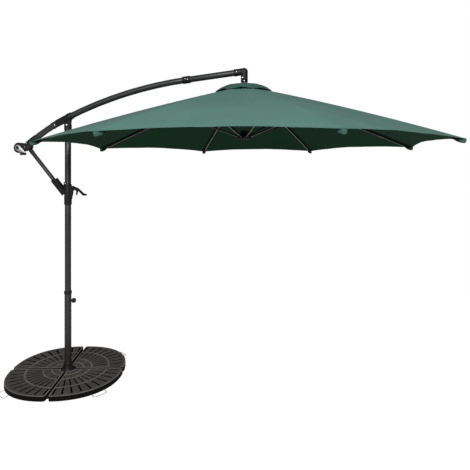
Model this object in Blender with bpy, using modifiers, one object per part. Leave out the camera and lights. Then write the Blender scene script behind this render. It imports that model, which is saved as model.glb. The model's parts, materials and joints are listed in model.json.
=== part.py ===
"""Cantilever patio umbrella on a weighted cross base.

The origin is on the ground under the mast axis. +X runs along the arm towards the canopy, +Z is up.
Every moving piece is parented to an empty that stands on its joint's axis.
"""

from math import asin, atan2, cos, hypot, pi, radians, sin, tan

import bmesh
import bpy
from mathutils import Matrix, Vector

# Driving dimensions, in metres
GAP = 0.0003            # between pieces that touch
SOCKET_GAP = 0.0006     # between a faceted tube and the socket around it

BASE_YAW = radians(8.0)  # the base cross is turned a little from the arm
WEIGHT_REACH = 0.440     # from the mast axis to a weight's rim, beside the gaps
WEIGHT_SQUARENESS = 2.3  # exponent of the rim: 2 is a circle, more is squarer
WEIGHT_THICKNESS = 0.038
WEIGHT_SPLIT = 0.008     # gap between neighbouring weights
WEIGHT_CORNER = 0.022
WEIGHT_CUTOUT = 0.058    # radius of the opening around the foot
CROSS_WIDTH = 0.044
CROSS_HEIGHT = 0.018
CROSS_REACH = 0.400
FLANGE_RADIUS = 0.075
FLANGE_THICKNESS = 0.005
FLANGE_BOLT_CIRCLE = 0.062
FLANGE_BOLT_RADIUS = 0.005
FLANGE_HOLE_RADIUS = 0.0056
BOLT_ROOM = 0.0112       # radius of the notches in the weights around the bolt heads

MAST_RADIUS = 0.024
MAST_WALL = 0.0016
MAST_BOTTOM = 0.0240
MAST_TOP = 1.940
BASE_TUBE_RADIUS = 0.0262
BASE_TUBE_WALL = 0.0016
BASE_TUBE_TOP = 0.650
KNOB_HEIGHT = 0.581
KNOB_RADIUS = 0.0190
KNOB_BACK = 0.0400       # the knob's head along X, from the mast axis
KNOB_FACE = 0.0600
KNOB_SCREW_RADIUS = 0.0040

PIVOT_HEIGHT = 1.976     # the arm tilts on the mast head here
PIVOT_RADIUS = 0.0055
PIVOT_BORE_RADIUS = 0.0062
HEAD_RADIUS = 0.0215     # of the mast head's cheeks
HEAD_HALF_WIDTH = 0.0225
HEAD_SLOT_HALF = 0.0140
ARM_RADIUS = 0.0240
ARM_WALL = 0.0016
ARM_START_Z = 2.0374     # arm centreline above the mast axis
ARM_START_SLOPE = radians(25.4)
ARM_FRONT_RADIUS = 3.11
ARM_REAR_RADIUS = 1.60
ARM_REAR_LENGTH = 0.343
ARM_JOINT_X = 0.964      # where the two arm tubes meet
ARM_FRONT_END_X = 1.378

STRUT_TOP = Vector((-0.330, 0.0, 1.795))
STRUT_FOOT = Vector((-0.063, 0.0, 1.472))
STRUT_RADIUS = 0.0155
STRUT_END_RADIUS = 0.0172
CRANK_CENTRE = Vector((-0.404, 0.0, 1.797))
CRANK_REACH = Vector((0.066, 0.0, -0.050))
HOUSING_RADIUS = 0.0420
HOUSING_HALF = 0.0260
SPOOL_CORE_RADIUS = 0.020
SPOOL_RADIUS = 0.0300
SPOOL_HALF = 0.0165
SHAFT_RADIUS = 0.0076
CRANK_PLATE_Y = -0.0370
GRIP_START_Y = -0.0400   # the grip's inner end
GRIP_LENGTH = 0.0620

SLIDER_RADIUS = 0.0294
SLIDER_BOTTOM = 1.344
SLIDER_TOP = 1.505
LEVER_PIVOT = Vector((0.039, 0.0, 1.478))

HUB_X = 1.412
RIB_COUNT = 8
RIB_HINGE_RADIUS = 0.045
RIB_HINGE_Z = 2.235
RIB_TIP_RADIUS = 1.497
RIB_TIP_Z = 1.800
RIB_BOW = 0.016          # upward bow of a rib at its middle
RIB_WIDTH = 0.013
RIB_HEIGHT = 0.018
RIB_WALL = 0.0012
STRETCHER_PIN_X = 0.570  # along the rib from its hinge
STRETCHER_PIN_DROP = 0.019
STRETCHER_WIDTH = 0.009
STRETCHER_HEIGHT = 0.012
RUNNER_RADIUS = 0.0510
RUNNER_FLOOR_DROP = 0.0140  # from the stretchers' inner pivots down to the runner's inside
CENTRE_TUBE_RADIUS = 0.0215
CENTRE_TUBE_BOTTOM = 1.900
CORD_RADIUS = 0.002
PULLEY_RADIUS = 0.014
SMALL_PIN_RADIUS = 0.0022  # rib and stretcher pins
SMALL_BORE_RADIUS = 0.0030

FABRIC = 0.001
FABRIC_OVER_RIB = 0.0115  # underside of the canopy above a rib's centreline
CANOPY_INNER_RADIUS = 0.150
CANOPY_EDGE_HOLLOW = 0.043  # how far the rim between two ribs is cut inwards, as a share
CANOPY_SAG = 0.006
CAP_RADIUS = 0.228
CAP_HOLE_RADIUS = 0.0240
CAP_TOP_Z = 2.268
CAP_DROP = 0.060
CAP_STEEPNESS = 3.2

FINISHES = {
    "frame": ((0.070, 0.070, 0.072), 0.38, 0.6),
    "black_plastic": ((0.018, 0.018, 0.020), 0.50, 0.0),
    "weight_plastic": ((0.060, 0.057, 0.055), 0.60, 0.0),
    "bare_steel": ((0.62, 0.62, 0.62), 0.30, 1.0),
    "cord": ((0.10, 0.10, 0.10), 0.80, 0.0),
    "fabric": ((0.065, 0.205, 0.155), 0.85, 0.0),
}

PIVOT = Vector((0.0, 0.0, PIVOT_HEIGHT))
HUB = Vector((HUB_X, 0.0, RIB_HINGE_Z))
RIB_SLOPE = atan2(RIB_HINGE_Z - RIB_TIP_Z, RIB_TIP_RADIUS - RIB_HINGE_RADIUS)
RIB_LENGTH = hypot(RIB_HINGE_Z - RIB_TIP_Z, RIB_TIP_RADIUS - RIB_HINGE_RADIUS)
LINK = hypot(STRETCHER_PIN_X, STRETCHER_PIN_DROP)
LINK_SLOPE = RIB_SLOPE + atan2(STRETCHER_PIN_DROP, STRETCHER_PIN_X)
RUNNER_HINGE_Z = RIB_HINGE_Z - 2 * LINK * sin(LINK_SLOPE)


# Scene and object helpers

def clear_scene():
    for obj in list(bpy.data.objects):
        bpy.data.objects.remove(obj, do_unlink=True)
    for collection in list(bpy.data.collections):
        bpy.data.collections.remove(collection)


def new_collection(name):
    collection = bpy.data.collections.new(name)
    bpy.context.scene.collection.children.link(collection)
    return collection


def material(name, finish):
    color, roughness, metallic = FINISHES[finish]
    mat = bpy.data.materials.new(name)
    mat.use_nodes = True
    shader = mat.node_tree.nodes["Principled BSDF"]
    shader.inputs["Base Color"].default_value = (*color, 1.0)
    shader.inputs["Roughness"].default_value = roughness
    shader.inputs["Metallic"].default_value = metallic
    return mat


def frame(name, location, rotation=None):
    empty = bpy.data.objects.new(name, None)
    empty.matrix_basis = Matrix.Translation(location) @ (rotation or Matrix())
    PARTS.objects.link(empty)
    return empty


def placed_frame(name, matrix):
    return frame(name, matrix.translation, matrix.to_3x3().to_4x4())


def part(name, mesh, finish, parent, matrix=None):
    """A finished piece: its mesh is in world metres unless a matrix places it."""
    obj = bpy.data.objects.new(name, mesh)
    PARTS.objects.link(obj)
    mesh.materials.clear()
    mesh.materials.append(material(name, finish))
    mesh.shade_smooth()
    mesh.set_sharp_from_angle(angle=radians(35))
    origin = Matrix.Translation(parent.matrix_basis.translation)
    if matrix is None:
        mesh.transform(origin.inverted())
        matrix = origin
    obj.parent = parent
    obj.matrix_parent_inverse = parent.matrix_basis.inverted()
    obj.matrix_basis = matrix
    return obj


def tool(name, mesh):
    """A guide or cutter, in world metres."""
    obj = bpy.data.objects.new(name, mesh)
    CUTTERS.objects.link(obj)
    obj.hide_render = True
    obj.display_type = "WIRE"
    return obj


def boolean(obj, operation, mesh, label):
    cutter = tool(f"{obj.name}_{label}", mesh)
    cutter.matrix_basis = obj.matrix_basis if obj.get("local_tools") else Matrix()
    modifier = obj.modifiers.new(label, "BOOLEAN")
    modifier.operation = operation
    modifier.solver = "EXACT"
    modifier.object = cutter
    return modifier


def cut(obj, mesh, label):
    return boolean(obj, "DIFFERENCE", mesh, label)


def join(obj, mesh, label):
    return boolean(obj, "UNION", mesh, label)


def solidify(obj, thickness, offset=-1.0):
    modifier = obj.modifiers.new("wall", "SOLIDIFY")
    modifier.thickness = thickness
    modifier.offset = offset
    modifier.use_even_offset = True
    return modifier


def bevel(obj, width, segments=1, angle=radians(50)):
    modifier = obj.modifiers.new("edges", "BEVEL")
    modifier.width = width
    modifier.segments = segments
    modifier.limit_method = "ANGLE"
    modifier.angle_limit = angle
    return modifier


# Mesh makers, all in metres

def to_mesh(bm, name):
    mesh = bpy.data.meshes.new(name)
    bm.to_mesh(mesh)
    bm.free()
    return mesh


def box(low, high, matrix=None):
    """A box between two corners, in its own axes, then placed by a matrix."""
    low, high = Vector(low), Vector(high)
    bm = bmesh.new()
    scale = Matrix.Diagonal((*(high - low), 1.0))
    bmesh.ops.create_cube(bm, size=1.0, matrix=Matrix.Translation((low + high) / 2) @ scale)
    if matrix is not None:
        bm.transform(matrix)
    return to_mesh(bm, "box")


def cylinder(start, end, radius, end_radius=None, sides=24, caps=True):
    """A round bar from one point to another."""
    start, end = Vector(start), Vector(end)
    axis = end - start
    turn = axis.to_track_quat("Z", "Y").to_matrix().to_4x4()
    bm = bmesh.new()
    bmesh.ops.create_cone(
        bm, cap_ends=caps, segments=sides, radius1=radius,
        radius2=radius if end_radius is None else end_radius, depth=axis.length,
        matrix=Matrix.Translation((start + end) / 2) @ turn,
    )
    return to_mesh(bm, "bar")


def cross_bar(centre, half_width, radius, sides=24):
    """A round bar across the arm's plane, along Y."""
    side = Vector((0.0, half_width, 0.0))
    return cylinder(Vector(centre) - side, Vector(centre) + side, radius, sides=sides)


def ball(centre, radius):
    bm = bmesh.new()
    bmesh.ops.create_uvsphere(
        bm, u_segments=16, v_segments=8, radius=radius, matrix=Matrix.Translation(centre)
    )
    return to_mesh(bm, "ball")


def turned(profile, sides=24, closed=True):
    """A ring turned about Z; the profile of (radius, z) runs down its outer side first."""
    bm = bmesh.new()
    points = [bm.verts.new((r, 0.0, z)) for r, z in profile]
    for a, b in zip(points, points[1:]):
        bm.edges.new((a, b))
    if closed:
        bm.edges.new((points[-1], points[0]))
    guide = bpy.data.objects.new("turned", to_mesh(bm, "turned"))
    PARTS.objects.link(guide)
    screw = guide.modifiers.new("turn", "SCREW")
    screw.steps = sides
    screw.render_steps = sides
    screw.use_merge_vertices = True
    screw.merge_threshold = 0.00001
    return baked(guide)


def baked(guide):
    """The evaluated mesh of a guide object, which is then removed."""
    depsgraph = bpy.context.evaluated_depsgraph_get()
    mesh = bpy.data.meshes.new_from_object(guide.evaluated_get(depsgraph))
    data = guide.data
    bpy.data.objects.remove(guide, do_unlink=True)
    if isinstance(data, bpy.types.Curve):
        bpy.data.curves.remove(data)
        bm = bmesh.new()
        bm.from_mesh(mesh)
        bmesh.ops.remove_doubles(bm, verts=bm.verts, dist=0.00001)
        bm.to_mesh(mesh)
        bm.free()
    return mesh


def rod(points, radius, sides=16, caps=True):
    """A round section swept along a route."""
    curve = bpy.data.curves.new("route", "CURVE")
    curve.dimensions = "3D"
    curve.bevel_depth = radius
    curve.bevel_resolution = (sides - 4) // 2
    curve.use_fill_caps = caps
    spline = curve.splines.new("POLY")
    spline.points.add(len(points) - 1)
    for knot, point in zip(spline.points, points):
        knot.co = (*point, 1.0)
    guide = bpy.data.objects.new("route", curve)
    PARTS.objects.link(guide)
    return baked(guide)


def plate(outline, half_width):
    """An outline of (x, z) points, extruded to both sides of the arm's plane."""
    curve = bpy.data.curves.new("outline", "CURVE")
    curve.dimensions = "2D"
    curve.fill_mode = "BOTH"
    curve.extrude = half_width
    spline = curve.splines.new("POLY")
    spline.points.add(len(outline) - 1)
    for knot, (x, z) in zip(spline.points, outline):
        knot.co = (x, z, 0.0, 1.0)
    spline.use_cyclic_u = True
    guide = bpy.data.objects.new("outline", curve)
    guide.rotation_euler = (pi / 2, 0.0, 0.0)
    PARTS.objects.link(guide)
    bpy.context.view_layer.update()
    matrix = guide.matrix_world.copy()
    mesh = baked(guide)
    mesh.transform(matrix)
    bm = bmesh.new()
    bm.from_mesh(mesh)
    bmesh.ops.recalc_face_normals(bm, faces=bm.faces)
    bm.to_mesh(mesh)
    bm.free()
    return mesh


def arc(centre, radius, start, end, steps):
    cx, cz = centre
    angles = [start + (end - start) * i / steps for i in range(steps + 1)]
    return [(cx + radius * cos(a), cz + radius * sin(a)) for a in angles]


def link_outline(a, radius_a, b, radius_b, steps=6):
    """The outline of a bar with round ends of different radii, from a to b in the XZ plane."""
    ax, az, bx, bz = a[0], a[2], b[0], b[2]
    heading = atan2(bz - az, bx - ax)
    lean = asin((radius_a - radius_b) / hypot(bx - ax, bz - az))
    side = pi / 2 - lean
    points = arc((bx, bz), radius_b, heading - side, heading + side, steps)
    return points + arc((ax, az), radius_a, heading + side, heading + 2 * pi - side, steps)


# The arm's centreline: two arcs that meet above the mast, and a straight run to the elbow

def arm_point(x):
    """The front arc and the straight run after it, by their distance along X."""
    bent = min(x, ARM_JOINT_X)
    slope = asin(sin(ARM_START_SLOPE) - bent / ARM_FRONT_RADIUS)
    rise = ARM_FRONT_RADIUS * (cos(slope) - cos(ARM_START_SLOPE)) + (x - bent) * tan(slope)
    return Vector((x, 0.0, ARM_START_Z + rise))


def tail_point(length):
    """The tighter rear arc, by the length back from the mast axis."""
    slope = ARM_START_SLOPE + length / ARM_REAR_RADIUS
    x = ARM_REAR_RADIUS * (sin(ARM_START_SLOPE) - sin(slope))
    fall = ARM_REAR_RADIUS * (cos(ARM_START_SLOPE) - cos(slope))
    return Vector((x, 0.0, ARM_START_Z - fall))


def arm_route(start_x, end_x, steps):
    return [arm_point(start_x + (end_x - start_x) * i / steps) for i in range(steps + 1)]


def tail_route(length, steps):
    """From the tail end up to just behind the mast axis."""
    return [tail_point(length * (steps - i) / steps) for i in range(steps)]


def rear_route():
    return tail_route(ARM_REAR_LENGTH, 5) + arm_route(0.0, ARM_JOINT_X, 8)


def front_route():
    return arm_route(ARM_JOINT_X, ARM_FRONT_END_X, 4)


def trimmed(route, at_start, at_end):
    """A route whose ends are drawn in, or pushed out where the length is negative."""
    route = list(route)
    route[0] = route[0] + (route[1] - route[0]).normalized() * at_start
    route[-1] = route[-1] + (route[-2] - route[-1]).normalized() * at_end
    return route


def arm_bore():
    """The space that the arm's two tubes need in a piece around them."""
    route = trimmed(rear_route() + front_route()[1:], -GAP, -GAP)
    return rod(route, ARM_RADIUS + SOCKET_GAP, 16)


# Base

def base_matrix():
    return Matrix.Rotation(BASE_YAW, 4, "Z")


def make_cross(base):
    half = CROSS_WIDTH / 2
    mesh = box((-CROSS_REACH, -half, 0.0), (CROSS_REACH, half, CROSS_HEIGHT))
    cross = part("cross_base", mesh, "frame", base, base_matrix())
    cross["local_tools"] = True
    join(cross, box((-half, -CROSS_REACH, 0.0), (half, CROSS_REACH, CROSS_HEIGHT)), "second_leg")
    for i in range(4):
        hole = cylinder(*bolt_ends(i, -0.001, 0.030), FLANGE_HOLE_RADIUS, sides=12)
        cut(cross, hole, f"bolt_hole_{i + 1}")
    return cross


def bolt_ends(i, low, high):
    x = FLANGE_BOLT_CIRCLE * cos(i * pi / 2)
    y = FLANGE_BOLT_CIRCLE * sin(i * pi / 2)
    return Vector((x, y, low)), Vector((x, y, high))


def rim_point(angle):
    """A point of the weights' common rim, a square with bulging sides and soft corners."""
    power = WEIGHT_SQUARENESS
    reach = WEIGHT_REACH / (abs(cos(angle)) ** power + abs(sin(angle)) ** power) ** (1 / power)
    return reach * cos(angle), reach * sin(angle)


def fan_outline():
    """One weight seen from above, between two of the cross's legs, with rounded outer corners."""
    edge = WEIGHT_SPLIT / 2
    side = edge + WEIGHT_CORNER
    inset = WEIGHT_REACH - WEIGHT_CORNER
    start = atan2(side, WEIGHT_REACH)
    steps = 12
    rim = [rim_point(start + (pi / 2 - 2 * start) * i / steps) for i in range(steps + 1)]
    first = arc((inset, side), WEIGHT_CORNER, -pi / 2, 0, 3)[:-1]
    last = arc((side, inset), WEIGHT_CORNER, pi / 2, pi, 3)[1:]
    cut_angle = asin(edge / WEIGHT_CUTOUT)
    inner = arc((0, 0), WEIGHT_CUTOUT, pi / 2 - cut_angle, cut_angle, 6)
    return first + rim + last + inner


def flat_slab(outline, low, high):
    """An outline of (x, y) points between two heights."""
    mesh = plate(outline, (high - low) / 2)
    mesh.transform(Matrix.Translation((0, 0, (low + high) / 2)) @ Matrix.Rotation(-pi / 2, 4, "X"))
    return mesh


def make_weight(base, i):
    mesh = flat_slab(fan_outline(), 0.0, WEIGHT_THICKNESS)
    matrix = base_matrix() @ Matrix.Rotation(i * pi / 2, 4, "Z")
    weight = part(f"weight_{i + 1}", mesh, "weight_plastic", base, matrix)
    weight["local_tools"] = True
    bevel(weight, 0.004)
    far = CROSS_REACH + 0.004
    half = CROSS_WIDTH / 2 + 0.001
    roof = CROSS_HEIGHT + 0.001
    cut(weight, box((0, -half, -0.01), (far, half, roof)), "leg_rebate_x")
    cut(weight, box((-half, 0, -0.01), (half, far, roof)), "leg_rebate_y")
    roof += GAP + FLANGE_THICKNESS
    cut(weight, cylinder((0, 0, -0.01), (0, 0, roof), FLANGE_RADIUS + 0.0015, sides=48), "flange_rebate")
    for k in range(2):
        cut(weight, cylinder(*bolt_ends(k, -0.01, 0.05), BOLT_ROOM, sides=20), f"bolt_notch_{k + 1}")
    return weight


def make_foot(base):
    bottom = CROSS_HEIGHT + GAP
    top = bottom + FLANGE_THICKNESS
    flange = part(
        "foot_flange", cylinder((0, 0, bottom), (0, 0, top), FLANGE_RADIUS, sides=40),
        "frame", base, base_matrix(),
    )
    flange["local_tools"] = True
    for i in range(4):
        hole = cylinder(*bolt_ends(i, 0.0, 0.05), FLANGE_HOLE_RADIUS, sides=12)
        cut(flange, hole, f"bolt_hole_{i + 1}")
    for i in range(4):
        shank = cylinder(*bolt_ends(i, 0.004, top + 0.001), FLANGE_BOLT_RADIUS, sides=12)
        bolt = part(f"flange_bolt_{i + 1}", shank, "bare_steel", base, base_matrix())
        bolt["local_tools"] = True
        join(bolt, cylinder(*bolt_ends(i, top + GAP, top + 0.0068), 0.0092, sides=6), "head")
    inner = BASE_TUBE_RADIUS + SOCKET_GAP
    z = top + GAP
    profile = [
        (0.0300, z + 0.068), (0.0325, z + 0.062), (0.0385, z + 0.034), (0.0480, z + 0.012),
        (0.0520, z + 0.004), (0.0520, z), (0.0490, z), (0.0455, z + 0.010), (0.0355, z + 0.032),
        (0.0300, z + 0.054), (inner, z + 0.060), (inner, z + 0.068),
    ]
    part("foot_collar", turned(profile, 24), "black_plastic", base)
    tube = cylinder((0, 0, z), (0, 0, BASE_TUBE_TOP), BASE_TUBE_RADIUS, sides=32, caps=False)
    tube = part("base_tube", tube, "frame", base)
    solidify(tube, BASE_TUBE_WALL)
    screw_line = (Vector((0.015, 0, KNOB_HEIGHT)), Vector((0.035, 0, KNOB_HEIGHT)))
    cut(tube, cylinder(*screw_line, 0.0055, sides=12), "screw_hole")


def make_clamp(base):
    inner = BASE_TUBE_RADIUS + SOCKET_GAP
    lip = MAST_RADIUS + 0.0010
    low, high = BASE_TUBE_TOP - 0.016, BASE_TUBE_TOP + 0.006
    profile = [
        (0.0288, high), (0.0298, high - 0.003), (0.0298, low), (inner, low),
        (inner, BASE_TUBE_TOP + GAP), (lip, BASE_TUBE_TOP + GAP), (lip, high),
    ]
    part("tube_collar", turned(profile, 24), "black_plastic", base)
    nut_start = BASE_TUBE_RADIUS + GAP
    mesh = cylinder((nut_start, 0, KNOB_HEIGHT), (KNOB_BACK - 0.001, 0, KNOB_HEIGHT), 0.0105, sides=6)
    nut = part("clamp_nut", mesh, "frame", base)
    cut(nut, cylinder((0.02, 0, KNOB_HEIGHT), (0.045, 0, KNOB_HEIGHT), 0.0050, sides=12), "thread")
    knob_frame = frame("clamp_axis", (0, 0, KNOB_HEIGHT))
    screw_end = (KNOB_BACK + KNOB_FACE) / 2
    mesh = cylinder(
        (MAST_RADIUS + GAP, 0, KNOB_HEIGHT), (screw_end, 0, KNOB_HEIGHT), KNOB_SCREW_RADIUS, sides=12
    )
    knob = part("clamp_knob", mesh, "black_plastic", knob_frame)
    head_ends = (KNOB_BACK, 0, KNOB_HEIGHT), (KNOB_FACE, 0, KNOB_HEIGHT)
    join(knob, cylinder(*head_ends, KNOB_RADIUS, KNOB_RADIUS - 0.0015), "head")
    for i in range(8):
        turn = Matrix.Rotation(i * pi / 4, 4, "X")
        at = turn @ Vector((0, KNOB_RADIUS + 0.0025, 0)) + Vector((0, 0, KNOB_HEIGHT))
        start, end = Vector((KNOB_BACK - 0.002, 0, 0)), Vector((KNOB_FACE + 0.004, 0, 0))
        groove = cylinder(at + start, at + end, 0.0050, sides=10)
        cut(knob, groove, f"grip_{i + 1}")


# Mast

def make_mast(mast):
    mesh = cylinder((0, 0, MAST_BOTTOM), (0, 0, MAST_TOP), MAST_RADIUS, sides=24, caps=False)
    solidify(part("mast_tube", mesh, "frame", mast), MAST_WALL)
    skirt = MAST_TOP - 0.045
    head = part(
        "mast_head", cylinder((0, 0, skirt), (0, 0, MAST_TOP + 0.010), 0.0285, 0.0265),
        "black_plastic", mast,
    )
    cheek = [(-HEAD_RADIUS, MAST_TOP), (HEAD_RADIUS, MAST_TOP)]
    cheek += arc((0, PIVOT_HEIGHT), HEAD_RADIUS, 0, pi, 12)
    join(head, plate(cheek, HEAD_HALF_WIDTH), "cheeks")
    slot_floor = PIVOT_HEIGHT - HEAD_RADIUS - 0.004
    cut(head, box((-0.04, -HEAD_SLOT_HALF, slot_floor), (0.04, HEAD_SLOT_HALF, 2.05)), "slot")
    socket = MAST_RADIUS + SOCKET_GAP
    cut(head, cylinder((0, 0, skirt - 0.01), (0, 0, MAST_TOP + GAP), socket), "socket")
    cut(head, cross_bar(PIVOT, 0.03, PIVOT_BORE_RADIUS, 16), "bore")
    shank = cross_bar(PIVOT, HEAD_HALF_WIDTH + 0.002, PIVOT_RADIUS, 16)
    bolt = part("head_bolt", shank, "bare_steel", mast)
    for side, label in ((-1, "head_left"), (1, "head_right")):
        start = PIVOT + Vector((0, side * (HEAD_HALF_WIDTH + 0.0004), 0))
        end = PIVOT + Vector((0, side * (HEAD_HALF_WIDTH + 0.0050), 0))
        join(bolt, cylinder(start, end, 0.0092, 0.0080, sides=20), label)


# Slider and its lever

def strut_direction():
    return (STRUT_TOP - STRUT_FOOT).normalized()


def strut_turn():
    """Turns the X axis onto the strut, pointing up towards the crank."""
    along = strut_direction()
    return Matrix.Rotation(-atan2(along.z, along.x), 4, "Y")


def make_slider(slider):
    place = Matrix.Translation(STRUT_FOOT) @ strut_turn()
    yoke = box((-0.060, -0.0234, -0.0250), (0.090, 0.0234, 0.0165), place)
    body = part("slider_body", yoke, "black_plastic", slider)
    cut(body, box((-0.150, -0.0182, -0.035), (0.200, 0.0182, 0.040), place), "strut_channel")
    sleeve = cylinder((0, 0, SLIDER_BOTTOM), (0, 0, SLIDER_TOP), SLIDER_RADIUS, sides=20)
    join(body, sleeve, "sleeve")
    ear = link_outline(Vector((-0.010, 0, SLIDER_TOP - 0.02)), 0.016, Vector((-0.012, 0, 1.516)), 0.011)
    join(body, plate(ear, 0.0262), "stop_ear")
    boss = link_outline(Vector((0.012, 0, 1.462)), 0.030, LEVER_PIVOT, 0.0135)
    join(body, plate(boss, 0.0170), "lever_boss")
    heel = [(0.0, 1.385), (0.0285, 1.385), (0.0400, 1.440), (0.0300, 1.470), (0.0, 1.470)]
    join(body, plate(heel, 0.0130), "heel")
    cut(body, box((0.0296, -0.0098, 1.425), (0.080, 0.0098, 1.530)), "lever_slot")
    low, high = (0, 0, SLIDER_BOTTOM - 0.02), (0, 0, SLIDER_TOP + 0.06)
    cut(body, cylinder(low, high, MAST_RADIUS + SOCKET_GAP, sides=24), "mast_bore")
    join(body, cross_bar(STRUT_FOOT, 0.0262, 0.0030, 12), "strut_pin")
    join(body, cross_bar(LEVER_PIVOT, 0.0190, 0.0030, 12), "lever_pin")


def make_lever(lever):
    grip = [
        (0.0330, 1.4870), (0.0420, 1.4905), (0.0560, 1.4850), (0.0840, 1.4760), (0.1110, 1.4530),
        (0.1300, 1.4330), (0.1480, 1.4310), (0.1560, 1.4260), (0.1560, 1.4185), (0.1460, 1.4150),
        (0.1240, 1.4170), (0.1080, 1.4330), (0.0900, 1.4510), (0.0830, 1.4490), (0.0790, 1.4330),
        (0.0760, 1.4210), (0.0690, 1.4210), (0.0670, 1.4260), (0.0720, 1.4400), (0.0700, 1.4540),
        (0.0560, 1.4610), (0.0400, 1.4650), (0.0330, 1.4690),
    ]
    body = part("slider_lever", plate(grip, 0.0085), "black_plastic", lever)
    bevel(body, 0.0015)
    cut(body, cross_bar(LEVER_PIVOT, 0.02, 0.0036, 16), "bore")


# Strut

def make_strut(strut):
    along = strut_direction()
    low, high = STRUT_FOOT + along * 0.034, STRUT_TOP - along * 0.034
    mesh = cylinder(low, high, STRUT_RADIUS, sides=16, caps=False)
    solidify(part("strut_tube", mesh, "frame", strut), 0.0015)
    socket = STRUT_RADIUS + 0.0004
    for name, eye, sign, length in (
        ("strut_top_end", STRUT_TOP, -1, 0.055),
        ("strut_lower_end", STRUT_FOOT, 1, 0.060),
    ):
        neck, end = eye + along * sign * 0.022, eye + along * sign * length
        body = part(name, cylinder(neck, end, STRUT_END_RADIUS, sides=20), "black_plastic", strut)
        half = 0.0072 if sign < 0 else 0.0130
        eye_radius = 0.0120 if sign < 0 else 0.0150
        tip = eye + along * sign * 0.028
        join(body, plate(link_outline(eye, eye_radius, tip, 0.0115), half), "eye")
        face = eye + along * sign * 0.0335
        cut(body, cylinder(face, end + along * sign * 0.01, socket, sides=16), "socket")
        bore = 0.0048 if sign < 0 else 0.0102
        cut(body, cross_bar(eye, 0.03, bore, 20), "bore")


# Arm

def make_arm(arm):
    rear = trimmed(rear_route(), 0.0, GAP)
    solidify(part("arm_tube_rear", rod(rear, ARM_RADIUS, 16, False), "frame", arm), ARM_WALL)
    front = trimmed(front_route(), GAP, 0.0)
    solidify(part("arm_tube_front", rod(front, ARM_RADIUS, 16, False), "frame", arm), ARM_WALL)

    start, end = arm_point(ARM_JOINT_X - 0.031), arm_point(ARM_JOINT_X + 0.031)
    coupler = part("arm_coupler", cylinder(start, end, 0.0284, sides=20), "black_plastic", arm)
    bevel(coupler, 0.0025)
    cut(coupler, arm_bore(), "bore")

    low, high = tail_point(0.100), arm_point(0.034)
    saddle = part("arm_saddle", cylinder(low, high, 0.0284, sides=20), "black_plastic", arm)
    rib_low, rib_high = arm_point(0.006), arm_point(0.012)
    join(saddle, cylinder(rib_low, rib_high, 0.0312, sides=20), "ridge")
    leg = [(-0.0200, PIVOT_HEIGHT), (0.0200, PIVOT_HEIGHT), (0.0300, 2.035), (-0.0480, 2.000)]
    leg_half = HEAD_SLOT_HALF - 0.0005
    join(saddle, plate(leg, leg_half), "leg")
    join(saddle, cross_bar(PIVOT, leg_half, HEAD_RADIUS - 0.0010, 28), "eye")
    cut(saddle, arm_bore(), "arm_bore")
    cut(saddle, cross_bar(PIVOT, 0.03, PIVOT_BORE_RADIUS, 16), "pivot_bore")

    low, high = tail_point(0.150), tail_point(0.1055)
    collar = part("arm_collar", cylinder(low, high, 0.0270, sides=20), "frame", arm)
    bevel(collar, 0.0020)
    cut(collar, arm_bore(), "arm_bore")


def make_elbow(arm):
    corner = Vector((HUB_X, 0, arm_point(HUB_X).z))
    start, inside = arm_point(1.335), arm_point(1.400)
    tube_z = corner.z - 0.036
    body = part("elbow", cylinder(start, corner, 0.0270, sides=20), "black_plastic", arm)
    join(body, ball(corner, 0.0274), "corner")
    join(body, cylinder(corner - Vector((0, 0, 0.082)), corner, 0.0268, sides=20), "drop")
    join(body, cylinder(start, arm_point(1.343), 0.0286, sides=20), "ridge")
    cut(body, arm_bore(), "arm_socket")
    low = corner - Vector((0, 0, 0.09))
    socket = CENTRE_TUBE_RADIUS + SOCKET_GAP
    cut(body, cylinder(low, (HUB_X, 0, tube_z), socket), "tube_socket")
    slot_low = (HUB_X - 0.042, -0.0075, corner.z - 0.050)
    slot_high = (HUB_X + 0.012, 0.0075, corner.z + 0.008)
    cut(body, box(slot_low, slot_high), "pulley_slot")
    axle = Vector((HUB_X - PULLEY_RADIUS - CORD_RADIUS, 0, corner.z - PULLEY_RADIUS - CORD_RADIUS))
    pulley_frame = frame("pulley_axis", axle)
    groove = PULLEY_RADIUS - 0.0004
    wheel = turned([
        (groove + 0.0022, 0.0060), (groove + 0.0022, 0.0030), (groove, 0.0022), (groove, -0.0022),
        (groove + 0.0022, -0.0030), (groove + 0.0022, -0.0060), (0.0034, -0.0060), (0.0034, 0.0060),
    ], 24)
    wheel.transform(Matrix.Translation(axle) @ Matrix.Rotation(pi / 2, 4, "X"))
    part("elbow_pulley", wheel, "black_plastic", pulley_frame)
    join(body, cross_bar(axle, 0.0100, 0.0028, 12), "pulley_pin")


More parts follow.
